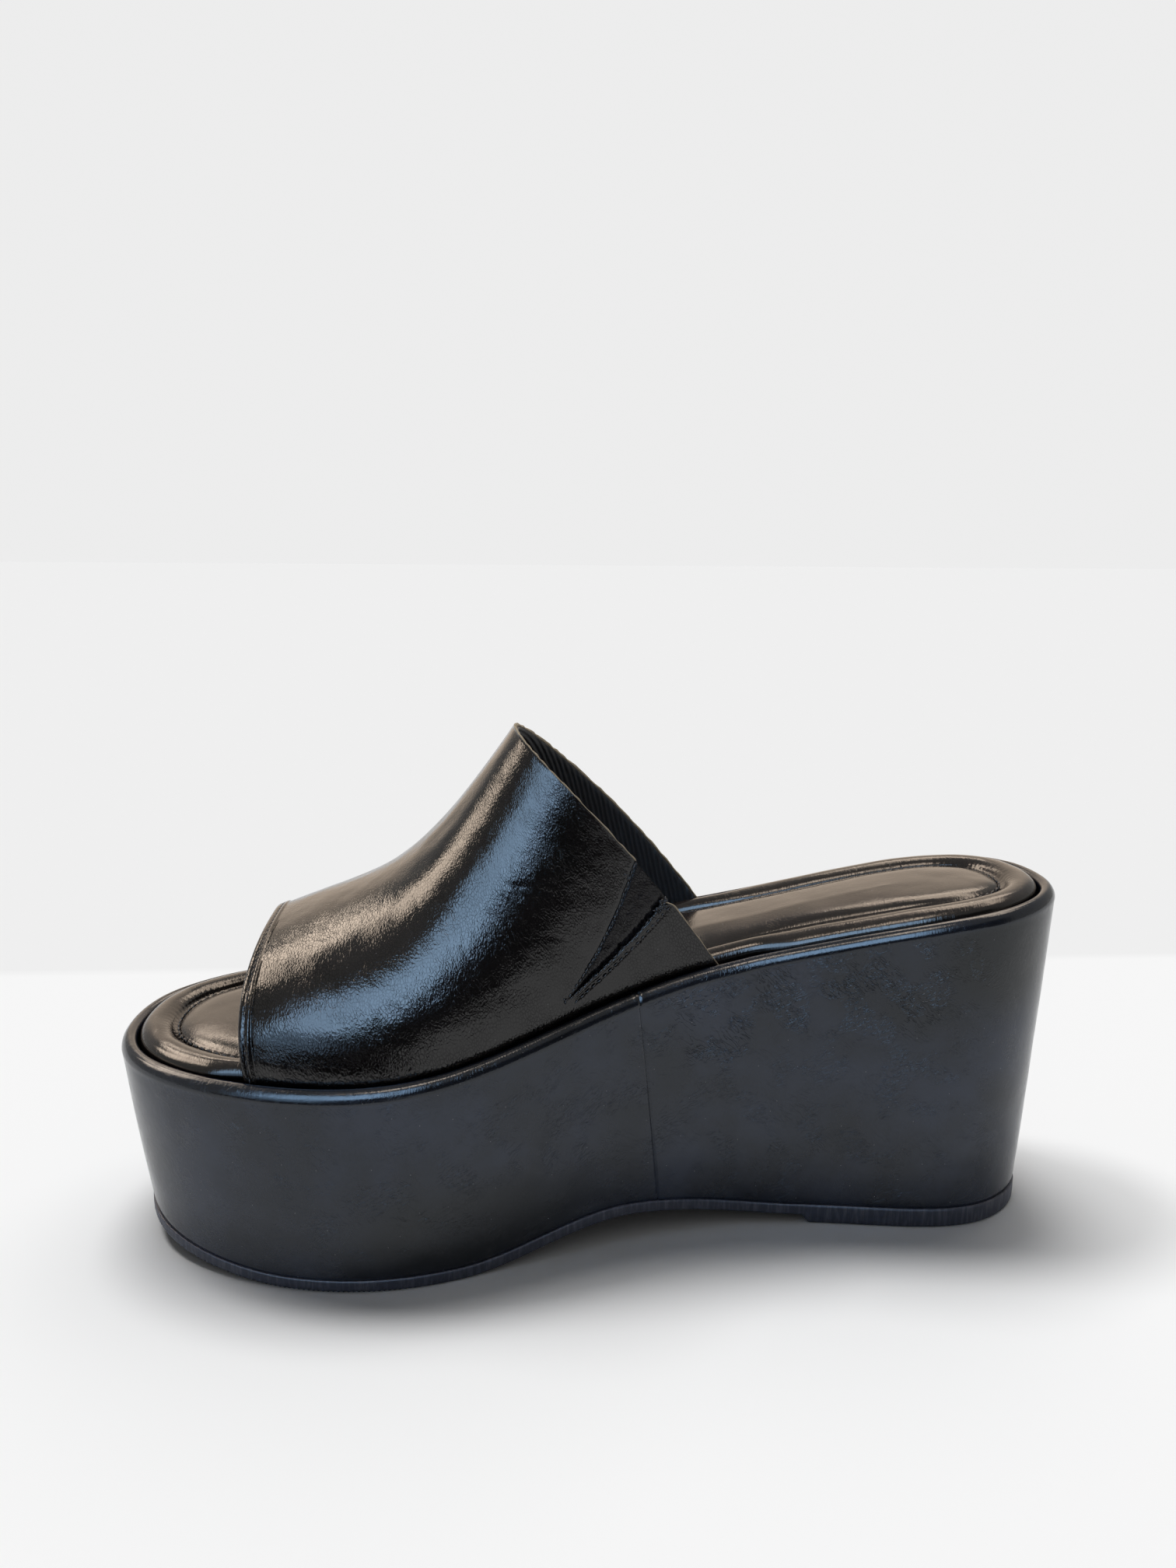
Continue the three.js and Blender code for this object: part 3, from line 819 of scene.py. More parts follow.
def make_world():
    """An even dome for the camera and the shadows. The gloss sees a low-lit room with bright panes instead."""
    world = bpy.data.worlds.new("studio")
    bpy.context.scene.world = world
    world.cycles.sampling_method = "NONE"
    world.use_nodes = True
    tree = world.node_tree
    tree.nodes.clear()
    path = node(tree, "LightPath")
    even = mix_colour(tree, path.outputs["Is Camera Ray"], grey(DOME), grey(BACKDROP))
    plain = node(tree, "Background", {"Color": even}).outputs[0]
    direction = node(tree, "TexCoord").outputs["Generated"]
    split = node(tree, "SeparateXYZ", {0: direction}).outputs
    heel_way = math_node(tree, "MULTIPLY", split["X"], -1.0)
    azimuth = math_node(tree, "DEGREES", math_node(tree, "ARCTAN2", heel_way, split["Y"]))
    elevation = math_node(tree, "DEGREES", math_node(tree, "ARCSINE", split["Z"]))
    room = (*ROOM, 1)
    for pane in PANES:
        tilt = math.radians(pane["tilt"])
        across = math_node(tree, "SUBTRACT", azimuth, float(pane["azimuth"]))
        across = node(tree, "Math", {0: across, 1: 180.0, 2: -180.0}, operation="WRAP").outputs[0]
        up = math_node(tree, "SUBTRACT", elevation, float(pane["elevation"]))
        along = math_node(
            tree, "ADD", math_node(tree, "MULTIPLY", across, math.cos(tilt)),
            math_node(tree, "MULTIPLY", up, math.sin(tilt)),
        )
        over = math_node(
            tree, "SUBTRACT", math_node(tree, "MULTIPLY", up, math.cos(tilt)),
            math_node(tree, "MULTIPLY", across, math.sin(tilt)),
        )
        share = math_node(
            tree, "MULTIPLY", fade(tree, along, pane["width"] / 2, pane["soft"]),
            fade(tree, over, pane["height"] / 2, pane["soft"]),
        )
        room = mix_colour(tree, share, room, tuple(c * pane["radiance"] for c in pane["tint"]) + (1,))
    mirrored = node(tree, "Background", {"Color": room}).outputs[0]
    glossy = path.outputs["Is Glossy Ray"]
    either = node(tree, "MixShader", {0: glossy, 1: plain, 2: mirrored}).outputs[0]
    node(tree, "OutputWorld", {"Surface": either})


def make_plane(name, low, high, height, material):
    mesh = bpy.data.meshes.new(name)
    corners = [(low[0], low[1]), (high[0], low[1]), (high[0], high[1]), (low[0], high[1])]
    mesh.from_pydata([(x, y, height) for x, y in corners], [], [(0, 1, 2, 3)])
    mesh.materials.append(material)
    plane = bpy.data.objects.new(name, mesh)
    bpy.context.scene.collection.objects.link(plane)
    return plane


# Corners of the floor and of the dark card on it, in metres. Only the gloss sees the card.
FLOOR_CORNERS = (-8, -8), (8, 8)
CARD_CORNERS = (0.0, 0.27), (2, 3)
CARD_HEIGHT = 0.0004


def make_studio():
    make_world()
    make_plane("floor", *FLOOR_CORNERS, 0, paper("floor_paper", FLOOR_LIGHT, FLOOR_DARK, FLOOR_EDGE))
    card_material, tree = new_material("dark_card")
    finish_material(tree, {"Base Color": grey(0.01), "Roughness": 1.0, "Specular IOR Level": 0.0})
    card = make_plane("dark_card", *CARD_CORNERS, CARD_HEIGHT, card_material)
    card.visible_camera = False
    card.visible_diffuse = False
    card.visible_shadow = False
    for light in SHADE_LIGHTS:
        shade_light(light)


# The wedge with its rolled rim

WALL_ROWS = 66
SHOULDER_ROWS = 12
CREST_ROWS = 12
BEAD_CREST = 3.0
CREST_RADIUS = 1.9
SHOULDER_RADIUS = 3.6
SHOULDER_TURN = 46
INNER_RADIUS = 1.6
WALL_TOP_SET = 0.66
WALL_TOP_DROP = 3.4
SEAM_X_TOP = 117.0
SEAM_X_FOOT = 111.0
SEAM_WIDTH = 0.14
SEAM_DEPTH = 0.42
SEAM_STEP = 0.1
# Painted shade on the wall: soft spots where its colour is darkened. x and z are the middle, wide and tall the
# reach, in millimetres, and share the strength.
SHADE_SPOTS = table(
    "x z wide tall share",
    (22, 76, 24, 17, 1.0),
    (44, 62, 12, 8, 0.6),
    (160, 14, 34, 15, 0.85),
    (118, 40, 14, 22, 0.3),
)
WORN = table(
    "x z wide tall share",
    (66, 68, 44, 16, 1.0),
    (98, 60, 18, 16, 0.9),
    (150, 30, 30, 12, 0.35),
    (40, 45, 26, 18, 0.4),
    (215, 35, 30, 12, 0.4),
)

# Creases on the medial wall. u: x from the heel. v: height over the floor.
WALL_CREASES = table(
    "u0 v0 u1 v1 width depth bow",
    (92, 70, 70, 67, 1.1, -0.1, 1.2),
    (84, 66, 58, 69, 1.0, -0.09, -1.2),
    (74, 74, 52, 69, 1.2, -0.1, 2.0),
    (70, 64, 46, 66, 1.1, -0.08, 1.0),
    (84, 59, 68, 52, 1.3, -0.06, 1.0),
    (56, 62, 36, 67, 1.3, -0.08, -1.5),
    (150, 34, 138, 22, 1.4, -0.06, 1.0),
    (168, 40, 160, 26, 1.6, -0.06, 0.8),
    (205, 38, 196, 24, 1.6, -0.05, -0.8),
)


def seam_columns():
    """Places round the outline, closer together beside the wall's seam, and the seam's own place."""
    at = np.arange(OUTLINE_COLUMNS) / OUTLINE_COLUMNS
    ring = Outline(at)
    medial = (ring.y > 0) & (ring.x > 30) & (ring.x < 200)
    seam_at = np.interp((SEAM_X_TOP + SEAM_X_FOOT) / 2, ring.x[medial], at[medial])
    off = at - seam_at
    share = np.clip(np.abs(off) / 0.02, 0, 1)
    return seam_at + off * (1 - 0.86 * (1 - share) ** 2), seam_at


def bead_profile():
    """Inset and drop of the rolled rim, from its soft outer shoulder over the crest to its inner side."""
    turn = math.radians(SHOULDER_TURN)
    points = []
    for i in range(SHOULDER_ROWS):
        a = turn * i / SHOULDER_ROWS
        points.append((
            BEAD_CREST - CREST_RADIUS * math.cos(turn) + SHOULDER_RADIUS * (math.cos(turn) - math.cos(a)),
            CREST_RADIUS * (1 - math.sin(turn)) + SHOULDER_RADIUS * (math.sin(turn) - math.sin(a)),
        ))
    for i in range(CREST_ROWS):
        a = turn + (math.pi / 2 - turn) * i / CREST_ROWS
        points.append((BEAD_CREST - CREST_RADIUS * math.cos(a), CREST_RADIUS * (1 - math.sin(a))))
    for i in range(7):
        a = math.pi / 2 * (1 + i / 6)
        points.append((BEAD_CREST - INNER_RADIUS * math.cos(a), INNER_RADIUS * (1 - math.sin(a))))
    return points


def spots_at(spots, x, height):
    """The strongest of some soft round spots at each place."""
    here = np.zeros_like(x)
    for spot in spots:
        reach = np.hypot((x - spot["x"]) / spot["wide"], (height - spot["z"]) / spot["tall"])
        here = np.maximum(here, spot["share"] * smooth_step(1.4 - reach))
    return here


def make_platform(material):
    at, seam_at = seam_columns()
    ring = Outline(at)
    tuck = wall_tuck(ring.out_x)
    per_mm = (outline_x(seam_at + 1e-3) - outline_x(seam_at - 1e-3)) / 2e-3
    off = (at - seam_at) * per_mm
    groove = SEAM_DEPTH * np.exp(-((off / SEAM_WIDTH) ** 2))
    lap = SEAM_STEP * smooth_step(0.5 - off / 0.3) * np.exp(-((off / 5) ** 2))
    near = np.exp(-(((at - seam_at) / 0.03) ** 2))
    rows, layers = [], []

    def leaning(share):
        """The outline at a share of the wall's height, shifted beside the leaning seam."""
        return Outline(at + (SEAM_X_TOP - SEAM_X_FOOT) * (share - 0.5) / per_mm * near)

    def add(x, y, height, worn, rolled, dim):
        rows.append((x, y, height))
        layers.append([np.broadcast_to(np.asarray(values, float), x.shape) for values in (worn, rolled, dim)])

    for i in range(WALL_ROWS + 1):
        share = i / WALL_ROWS
        row = leaning(share)
        inset = tuck + (WALL_TOP_SET - tuck) * share - WALL_BELLY * 4 * share * (1 - share)
        seat = sole_underside(row.x) + SOLE_SHEET
        top = rim_top(row.x) - WALL_TOP_DROP
        height = seat + (top - seat) * share
        crease = np.where(row.y > 0, crease_depth(row.x, height, WALL_CREASES), 0)
        soft = 0.09 * soft_noise(ring.walk, height, 15, 4, ring.girth)
        soft = soft + 0.035 * soft_noise(ring.walk, height, 5, 5, ring.girth)
        calm = smooth_step(share / 0.06) * smooth_step((1 - share) / 0.08)
        foot = 0.12 * (1 - smooth_step(share / 0.02))
        x, y = row.inset(inset - (crease + soft) * calm - lap + groove + foot)
        # Painted shade in the colour: the listed spots on the medial wall and an even 0.2 on the lateral wall,
        # or a random mottle where that is stronger.
        mottle = 0.3 * smooth_step(soft_noise(ring.walk, height, 13, 6, ring.girth) * 1.6)
        worn = np.where(row.y > 0, np.maximum(spots_at(WORN, row.x, height), 0.3), 0.3)
        dim = np.maximum(np.where(row.y > 0, spots_at(SHADE_SPOTS, row.x, height), 0.2), mottle)
        add(x, y, height, worn, np.exp(-(((1 - share) * (top - seat) / 1.4) ** 2)), dim)
    row = leaning(1.0)
    wobble = 0.04 * soft_noise(ring.walk, 0 * ring.walk, 6, 11, ring.girth)
    tick = 0.22 * np.exp(-((off / 0.25) ** 2)) - 0.1 * np.exp(-(((np.abs(off) - 0.7) / 0.5) ** 2))
    profile = bead_profile()
    # The bead's colour is darkened by 0.6 of the same layer.
    for i, (inset, drop) in enumerate(profile[1:], 1):
        swell = (wobble - tick) * smooth_step(i / 3) * smooth_step((len(profile) - 1 - i) / 6)
        reach = math.hypot(BEAD_CREST - inset, WALL_TOP_DROP - drop)
        out = (BEAD_CREST - inset) / reach
        up = (WALL_TOP_DROP - drop) / reach
        x, y = row.inset(inset - swell * out)
        add(x, y, rim_top(row.x) - drop + swell * up, worn=0.1, rolled=1, dim=0.6)
    # The rim's inner side and the deck below the insole take the full painted shade of the recess.
    for sink in (0.35, 0.7, 1.0):
        x, y = row.inset(RIM_WIDTH)
        height = rim_top(row.x) - INNER_RADIUS - (RIM_DEPTH - INNER_RADIUS) * sink
        add(x, y, height, worn=0, rolled=1, dim=1)
    x, y = row.inset(CHANNEL_INSET)
    add(x, y, deck_top(x), worn=0, rolled=1, dim=1)
    worn, rolled, dim = np.moveaxis(np.array(layers), 1, 0)
    return build_rings(
        "platform_wrap", rows, walk=ring.walk, node="platform", slot="platform_patent", material=material,
        worn=worn, rolled=rolled, dim=dim,
    )


# The rubber sole

TOOTH_PITCH = 1.25
TOOTH_DEPTH = 0.4
TOE_TEETH_X = 168
HEEL_TEETH_X = 16
SOLE_EDGE_ROWS = 7
SOLE_SEAT = 0.05


def lift_height(x):
    """Underside of the sole with its heel lift, whose front leans back."""
    floor_edge = HEEL_LIFT_LENGTH - LIFT_BEVEL
    sheet = sole_underside(x)
    return np.where(x < floor_edge, 0, np.clip((x - floor_edge) / LIFT_BEVEL, 0, 1) * sheet)


def make_outsole(material):
    ring = Outline(np.arange(SOLE_COLUMNS) / SOLE_COLUMNS)
    edge = wall_tuck(ring.out_x) - SOLE_PROUD
    teeth = 0.5 + 0.5 * np.sin(TURN * ring.walk / TOOTH_PITCH)
    teeth = teeth * (smooth_step((ring.x - TOE_TEETH_X) / 22) + smooth_step((HEEL_TEETH_X - ring.x) / 8))
    x_edge, _ = ring.inset(edge)
    low = lift_height(x_edge)
    top = sole_underside(x_edge) + SOLE_SHEET - SOLE_SEAT
    rows = []
    for inset in (7.0, 2.2, 0.75):
        x, y = ring.inset(edge + inset)
        rows.append((x, y, lift_height(x)))
    x, y = ring.inset(edge + 0.3)
    rows.append((x, y, low + 0.15 + TOOTH_DEPTH * 0.8 * teeth))
    x, y = ring.inset(edge + 0.05)
    rows.append((x, y, low + 0.5 + TOOTH_DEPTH * teeth))
    for i in range(SOLE_EDGE_ROWS):
        share = (i + 1) / SOLE_EDGE_ROWS
        fray = 0.06 * soft_noise(ring.walk, 0 * ring.walk + i * 0.7, 1.1, 21, ring.girth)
        bottom = low + 0.5 + TOOTH_DEPTH * teeth
        x, y = ring.inset(edge - fray * (1 - share))
        rows.append((x, y, bottom + (top - 0.15 - bottom) * share))
    x, y = ring.inset(edge + 0.25)
    rows.append((x, y, top))
    x, y = ring.inset(edge + 3)
    rows.append((x, y, sole_underside(x) + SOLE_SHEET - SOLE_SEAT))
    return build_rings(
        "outsole_rubber", rows, walk=ring.walk, node="outsole", slot="outsole_rubber", material=material
    )


# The padded insole

TUBE_ROWS = 24
CROWN_ROWS = 30
PAD_EDGE_FALL = 1.45
PAD_EDGE_WIDTH = 3.4
PUCKER_PITCH = 2.7
PUCKER_DEPTH = 0.1
CHANNEL_BED = 0.5
PAD_WAVES = 0.22
PAD_LIFT = 0.55


def tube_top(x):
    return rim_top(x) + TUBE_RISE


def spine_point(x):
    return RIM_LENGTH / 2 + (x - RIM_LENGTH / 2) * SPINE_SHARE, TOE_END_SHARE * BALL_WIDTH * x / RIM_LENGTH


def make_insole(material):
    ring = Outline(np.arange(OUTLINE_COLUMNS) / OUTLINE_COLUMNS)
    edge = insole_inset(ring.x)
    end = math.asin(1 - CHANNEL_SINK / TUBE_HEIGHT)
    pucker = np.abs(np.sin(math.pi * ring.walk / PUCKER_PITCH))
    uneven = 1 + 0.5 * soft_noise(ring.walk, 0 * ring.walk, 9, 31, ring.girth)
    rows = []
    for inset, rise in ((edge + 1.2, 0.3), (edge + 0.3, 0.45), (edge, 1.0)):
        x, y = ring.inset(inset)
        rows.append((x, y, deck_top(x) + rise))
    for i in range(TUBE_ROWS + 1):
        share = i / TUBE_ROWS
        angle = math.pi + (end - math.pi) * share
        across = (1 + math.cos(angle)) / (1 + math.cos(end))
        inset = edge + (CHANNEL_INSET - CHANNEL_WIDTH - edge) * across
        wave = 0.12 * soft_noise(ring.walk, 0 * ring.walk + share * 9, 8, 32, ring.girth)
        pull = PUCKER_DEPTH * uneven * (1 - pucker) * smooth_step((share - 0.62) / 0.38)
        x, y = ring.inset(inset)
        round_top = TUBE_HEIGHT * (math.sin(angle) - 1) + wave * math.sin(angle)
        rows.append((x, y, tube_top(x) + round_top - pull))
    for inset, sink, pull in (
        (CHANNEL_INSET - 1.2, CHANNEL_SINK + CHANNEL_BED, 0.5),
        (CHANNEL_INSET - 0.6, CHANNEL_SINK + CHANNEL_BED * 1.3, 0.4),
        (CHANNEL_INSET - 0.1, CHANNEL_SINK + CHANNEL_BED * 0.9, 0.5),
        (CHANNEL_INSET + 0.2, CHANNEL_SINK, 0.7),
        (CHANNEL_INSET + 0.6, CHANNEL_SINK - 0.32, 0.6),
    ):
        x, y = ring.inset(inset)
        rows.append((x, y, tube_top(x) - sink - PUCKER_DEPTH * uneven * pull * (1 - pucker)))
    x0, y0 = ring.inset(CHANNEL_INSET + 1.0)
    spine_x, spine_y = spine_point(x0)
    for i in range(CROWN_ROWS):
        share = 0.97 * (i / (CROWN_ROWS - 1)) ** 1.5
        x = x0 + (spine_x - x0) * share
        y = y0 + (spine_y - y0) * share
        away = np.hypot(x - x0, y - y0)
        wave = PAD_WAVES * soft_noise(x, y, 17, 33) + 0.06 * soft_noise(x, y, 5, 34)
        rise = PAD_CROWN * share - PAD_DROP + PAD_LIFT - PAD_EDGE_FALL * np.exp(-away / PAD_EDGE_WIDTH)
        rows.append((x, y, tube_top(x) + rise + wave * smooth_step(0.2 + away / 9)))
    piece = build_rings("insole_pad", rows, node="insole", slot="insole_patent", material=material)
    return piece


# The strap: leather with a folded hem, ribbed lining, and the gusset in its notch

LEATHER = 1.05
LINING_TOP = 1.07
LOW_COLUMNS = 36
HIGH_COLUMNS = 264
STRAP_ROWS = 216
COARSE = 3
SEAM_GAP = 0.4
FRAY = 0.16
CORNER_RADIUS = 2.4

# Creases in the strap. u: step x 100 from the front edge. v: round x 100 from the medial channel.
STRAP_CREASES = table(
    "u0 v0 u1 v1 width depth bow",
    (75, 50, 84, 35, 0.8, -0.09, 1.0),
    (78, 47, 80, 37, 0.6, -0.08, -0.8),
    (81, 44, 85, 38, 0.6, -0.08, 0.6),
    (26.4, 40, 24.6, 28, 0.7, -0.09, 0.4),
    (35, 32, 34, 22, 0.8, -0.08, -0.6),
    (66, 36, 59, 20, 0.6, -0.06, 0.8),
    (72, 58, 75, 49, 0.7, -0.06, 0.5),
    (57, 72, 55, 54, 0.9, -0.05, 0.7),
    (74, 32, 79, 25, 0.6, -0.06, 0.5),
    (62, 44, 60, 34, 0.7, -0.06, -0.5),
    (14, 60, 40, 66, 5.0, -0.12, 2.0),
    (60, 86, 92, 92, 6.0, -0.15, -2.0),
)


def hem_height(d):
    """Height of the strap's face over its plain form, by the distance from the front edge."""
    plateau = HEM_STEP * (1 - smooth_step((d - HEM_WIDTH) / 0.5))
    stitch = -0.26 * np.exp(-(((d - 1.9) / 0.36) ** 2))
    foot = -0.1 * np.exp(-(((d - HEM_WIDTH - 0.55) / 0.3) ** 2))
    return plateau + stitch + foot


def notch_seam(step, end):
    share = (np.asarray(step, float) - NOTCH_TIP["step"]) / (end["step"] - NOTCH_TIP["step"])
    return NOTCH_TIP["round"] + (end["round"] - NOTCH_TIP["round"]) * np.maximum(share, 0)


def local_length(rounds):
    """Length of the strap in millimetres per step of 1, at its front edge, for each round."""
    return np.linalg.norm(strap_point(0.02, rounds) - strap_point(0.0, rounds), axis=-1) / 0.02


def round_length(step):
    """Millimetres per round of 1, on the medial side at each step."""
    return np.linalg.norm(strap_point(step, 0.2) - strap_point(step, 0.1), axis=-1) / 0.1


def slit_body(top, bottom, tip_row, slit, coarse):
    """Points and faces of a closed sheet with a slit that opens behind a row.

    top holds the slit twice, as columns slit and slit + 1. bottom has the rows and columns of the
    top that are whole multiples of coarse, counted on each side of the slit."""
    rows, columns = top.shape[:2]
    low_rows, low_columns = bottom.shape[:2]
    low_slit = slit // coarse
    top_index = np.arange(rows * columns).reshape(rows, columns)
    low_index = rows * columns + np.arange(low_rows * low_columns).reshape(low_rows, low_columns)
    top_index[: tip_row + 1, slit + 1] = top_index[: tip_row + 1, slit]
    low_index[: tip_row // coarse + 1, low_slit + 1] = low_index[: tip_row // coarse + 1, low_slit]
    faces = []

    def grid(index, gap_at, flip):
        for first, last in ((0, gap_at + 1), (gap_at + 1, index.shape[1])):
            a, b = index[:-1, first:last - 1], index[:-1, first + 1:last]
            c, d = index[1:, first + 1:last], index[1:, first:last - 1]
            quads = np.stack([a, b, c, d], -1).reshape(-1, 4)
            faces.extend((quads[:, ::-1] if flip else quads).tolist())

    grid(top_index, slit, False)
    grid(low_index, low_slit, True)

    def wall(upper_line, lower_line, flip):
        for i in range(len(lower_line) - 1):
            face = list(upper_line[i * coarse:(i + 1) * coarse + 1]) + [lower_line[i + 1], lower_line[i]]
            faces.append([int(k) for k in (face[::-1] if flip else face)])

    wall(top_index[0, :slit + 1], low_index[0, :low_slit + 1], True)
    wall(top_index[0, slit + 1:], low_index[0, low_slit + 1:], True)
    wall(top_index[-1, :slit + 1], low_index[-1, :low_slit + 1], False)
    wall(top_index[-1, slit + 1:], low_index[-1, low_slit + 1:], False)
    wall(top_index[:, 0], low_index[:, 0], False)
    wall(top_index[:, -1], low_index[:, -1], True)
    tip = tip_row // coarse
    wall(top_index[tip_row:, slit], low_index[tip:, low_slit], True)
    wall(top_index[tip_row:, slit + 1], low_index[tip:, low_slit + 1], False)
    return np.concatenate([top.reshape(-1, 3), bottom.reshape(-1, 3)]), faces


def drop_unused(points, faces, *values):
    """Points that no face uses are left out, and the faces and per-point values follow."""
    used = np.unique(np.concatenate([np.asarray(f) for f in faces]))
    order = np.full(len(points), -1)
    order[used] = np.arange(len(used))
    faces = [[int(order[k]) for k in f] for f in faces]
    return (points[used], faces, *[np.asarray(v)[used] for v in values])


def surface_walk(grid):
    """Millimetres along and across a grid of points, from its first row and column."""
    down = np.linalg.norm(np.diff(grid, axis=0), axis=2)
    across = np.linalg.norm(np.diff(grid, axis=1), axis=2)
    u = np.concatenate([np.zeros((1, grid.shape[1])), np.cumsum(down, axis=0)])
    v = np.concatenate([np.zeros((grid.shape[0], 1)), np.cumsum(across, axis=1)], axis=1)
    return np.stack([u, v], -1)


def strap_columns():
    """Shares of the way for the columns on each side of the notch, finer beside it."""
    low = np.linspace(0, 1, LOW_COLUMNS + 1)
    low = 1 - (1 - low) ** 1.35
    high = np.linspace(0, 1, HIGH_COLUMNS + 1)
    high = 0.35 * high + 0.65 * high**1.8
    return low, high


def strap_rows():
    """Distances from the front edge in millimetres, then steps over the rest of the strap."""
    front = [(0.55, -1.05), (0.2, -0.95), (0.03, -0.65), (0.02, -0.3), (0.12, -0.02), (0.32, 0.2), (0.6, 0.33)]
    for d in (0.85, 1.1, 1.35, 1.55, 1.7, 1.85, 2.0, 2.15, 2.35, 2.6, 2.85, 3.05, 3.2, 3.35, 3.5, 3.7, 3.95):
        front.append((d, float(hem_height(d))))
    return front


def make_strap(material):
    low, high = strap_columns()
    front = strap_rows()
    tip = NOTCH_TIP["step"]
    first = 4.3 / STRAP_LENGTH
    tip_row = 150
    ahead = tip_row + 1 - len(front)
    steps_ahead = np.linspace(first, tip, ahead)
    steps_behind = np.linspace(tip, 1, STRAP_ROWS - tip_row - 4 + 1)[1:]
    plain = np.concatenate([steps_ahead, steps_behind])
    per_round = float(np.linalg.norm(strap_point(0.9, 0.25) - strap_point(0.9, 0.24))) / 0.01

    def rounds_at(step):
        opening = smooth_step((step - tip) / 0.04)
        low_cut = SEAM_GAP + FRAY * float(soft_noise(step * 100, 0.0, 1.3, 45))
        high_cut = SEAM_GAP * 0.7 + FRAY * float(soft_noise(step * 100, 7.0, 1.1, 46))
        low_end = notch_seam(step, NOTCH_LOWER) - opening * low_cut / per_round
        high_end = notch_seam(step, NOTCH_UPPER) + opening * high_cut / per_round
        return np.concatenate([low * low_end, high_end + (2 - high_end) * high])

    def corner_cut(rounds, step):
        """How far the lower panel's round corner draws back at the collar, as a step."""
        off = (rounds[LOW_COLUMNS] - rounds[:LOW_COLUMNS + 1]) * per_round
        near = np.clip(1 - off / CORNER_RADIUS, 0, 1)
        cut = CORNER_RADIUS * (1 - np.sqrt(1 - near**2 * 0.98)) / STRAP_LENGTH
        return np.concatenate([cut, np.zeros(HIGH_COLUMNS + 1)]) * smooth_step((step - 0.93) / 0.07)

    top, under = [], []
    rounds0 = rounds_at(0.0)
    length0 = local_length(rounds0)
    for d, height in front:
        step = d / length0
        point = strap_point(step, rounds0)
        top.append(point + strap_normal(step, rounds0) * height)
        under.append(np.stack([step, rounds0, np.zeros_like(rounds0)], -1))
    for step in plain:
        rounds = rounds_at(step)
        steps = step - corner_cut(rounds, step)
        point = strap_point(steps, rounds)
        normal = strap_normal(steps, rounds)
        u, v = steps * 100, rounds * 100
        height = crease_depth(u, v, STRAP_CREASES)
        height = height + 0.09 * soft_noise(u, v, 14, 41) + 0.05 * soft_noise(u, v, 5.5, 42)
        if step > tip:
            span = np.linalg.norm(strap_point(step, 0.12) - strap_point(step, 0.11)) / 0.01
            slit_off = np.concatenate([
                (rounds[LOW_COLUMNS] - rounds[:LOW_COLUMNS + 1]) * span,
                (rounds[LOW_COLUMNS + 1:] - rounds[LOW_COLUMNS + 1]) * span,
            ])
            open_share = smooth_step((step - tip) / 0.03)
            roll = 0.4 * (1 - np.sqrt(np.clip(1 - (1 - np.clip(slit_off / 0.4, 0, 1)) ** 2, 0, 1)))
            nibble = 0.1 * soft_noise(u, slit_off, 0.8, 43) * np.exp(-((slit_off / 0.7) ** 2))
            below = np.arange(len(rounds)) <= LOW_COLUMNS
            second = np.where(below, -0.2 * np.exp(-(((slit_off - 1.55) / 0.3) ** 2)), 0)
            ridge = nibble + second - 0.16 * np.exp(-(((slit_off - 0.55) / 0.22) ** 2))
            height = height + (ridge - roll) * open_share
        top.append(point + normal * height[:, None])
        under.append(np.stack([steps, rounds, np.zeros_like(rounds)], -1))
    rounds = rounds_at(1.0)
    ones = 1 - corner_cut(rounds, 1.0)
    point, normal = strap_point(ones, rounds), strap_normal(ones, rounds)
    back = strap_point(ones, rounds) - strap_point(ones - 0.001, rounds)
    back /= np.linalg.norm(back, axis=-1, keepdims=True)
    ripple = (1 + 0.6 * soft_noise(rounds * 100, 0 * rounds, 1.7, 47))[:, None]
    for reach, sink, pale in ((0.06, 0.0, 0.5), (0.26, 0.05, 1.0), (0.32, 0.25, 1.0), (0.2, 0.9, 1.0)):
        top.append(point + back * reach * ripple - normal * sink)
        under.append(np.stack([ones, rounds, np.full_like(rounds, pale)], -1))
    top = np.array(top)
    under = np.array(under)
    low_row_index = list(range(0, len(top), COARSE))
    low_column_index = list(range(0, LOW_COLUMNS + 1, COARSE)) + list(
        range(LOW_COLUMNS + 1, LOW_COLUMNS + HIGH_COLUMNS + 2, COARSE)
    )
    picked = under[np.ix_(low_row_index, low_column_index)]
    step, round_ = picked[..., 0], picked[..., 1]
    bottom = strap_point(step, round_) - strap_normal(step, round_) * LEATHER
    pale = np.concatenate([under[..., 2].ravel(), picked[..., 2].ravel()])
    uv = surface_walk(top)
    low_uv = uv[np.ix_(low_row_index, low_column_index)]
    uv = np.concatenate([uv.reshape(-1, 2), low_uv.reshape(-1, 2)])
    points, faces = slit_body(top, bottom, tip_row, LOW_COLUMNS, COARSE)
    points, faces, pale, uv = drop_unused(points, faces, pale, uv)
    return make_piece(
        "strap_leather", points, faces, uv=uv, node="upper", slot="strap_patent", material=material, pale=pale
    )


def sheet_body(top, bottom):
    """Points and faces of a closed sheet between two grids of equal size."""
    rows, columns = top.shape[:2]
    t = np.arange(rows * columns).reshape(rows, columns)
    b = t + rows * columns
    quads = [np.stack([t[:-1, :-1], t[:-1, 1:], t[1:, 1:], t[1:, :-1]], -1).reshape(-1, 4)]
    quads.append(np.stack([b[:-1, :-1], b[1:, :-1], b[1:, 1:], b[:-1, 1:]], -1).reshape(-1, 4))
    sides = (t[0], b[0], True), (t[-1], b[-1], False), (t[:, 0], b[:, 0], False), (t[:, -1], b[:, -1], True)
    for a, c, flip in sides:
        wall = np.stack([a[:-1], a[1:], c[1:], c[:-1]], -1)
        quads.append(wall[:, ::-1] if flip else wall)
    return np.concatenate([top.reshape(-1, 3), bottom.reshape(-1, 3)]), np.concatenate(quads).tolist()


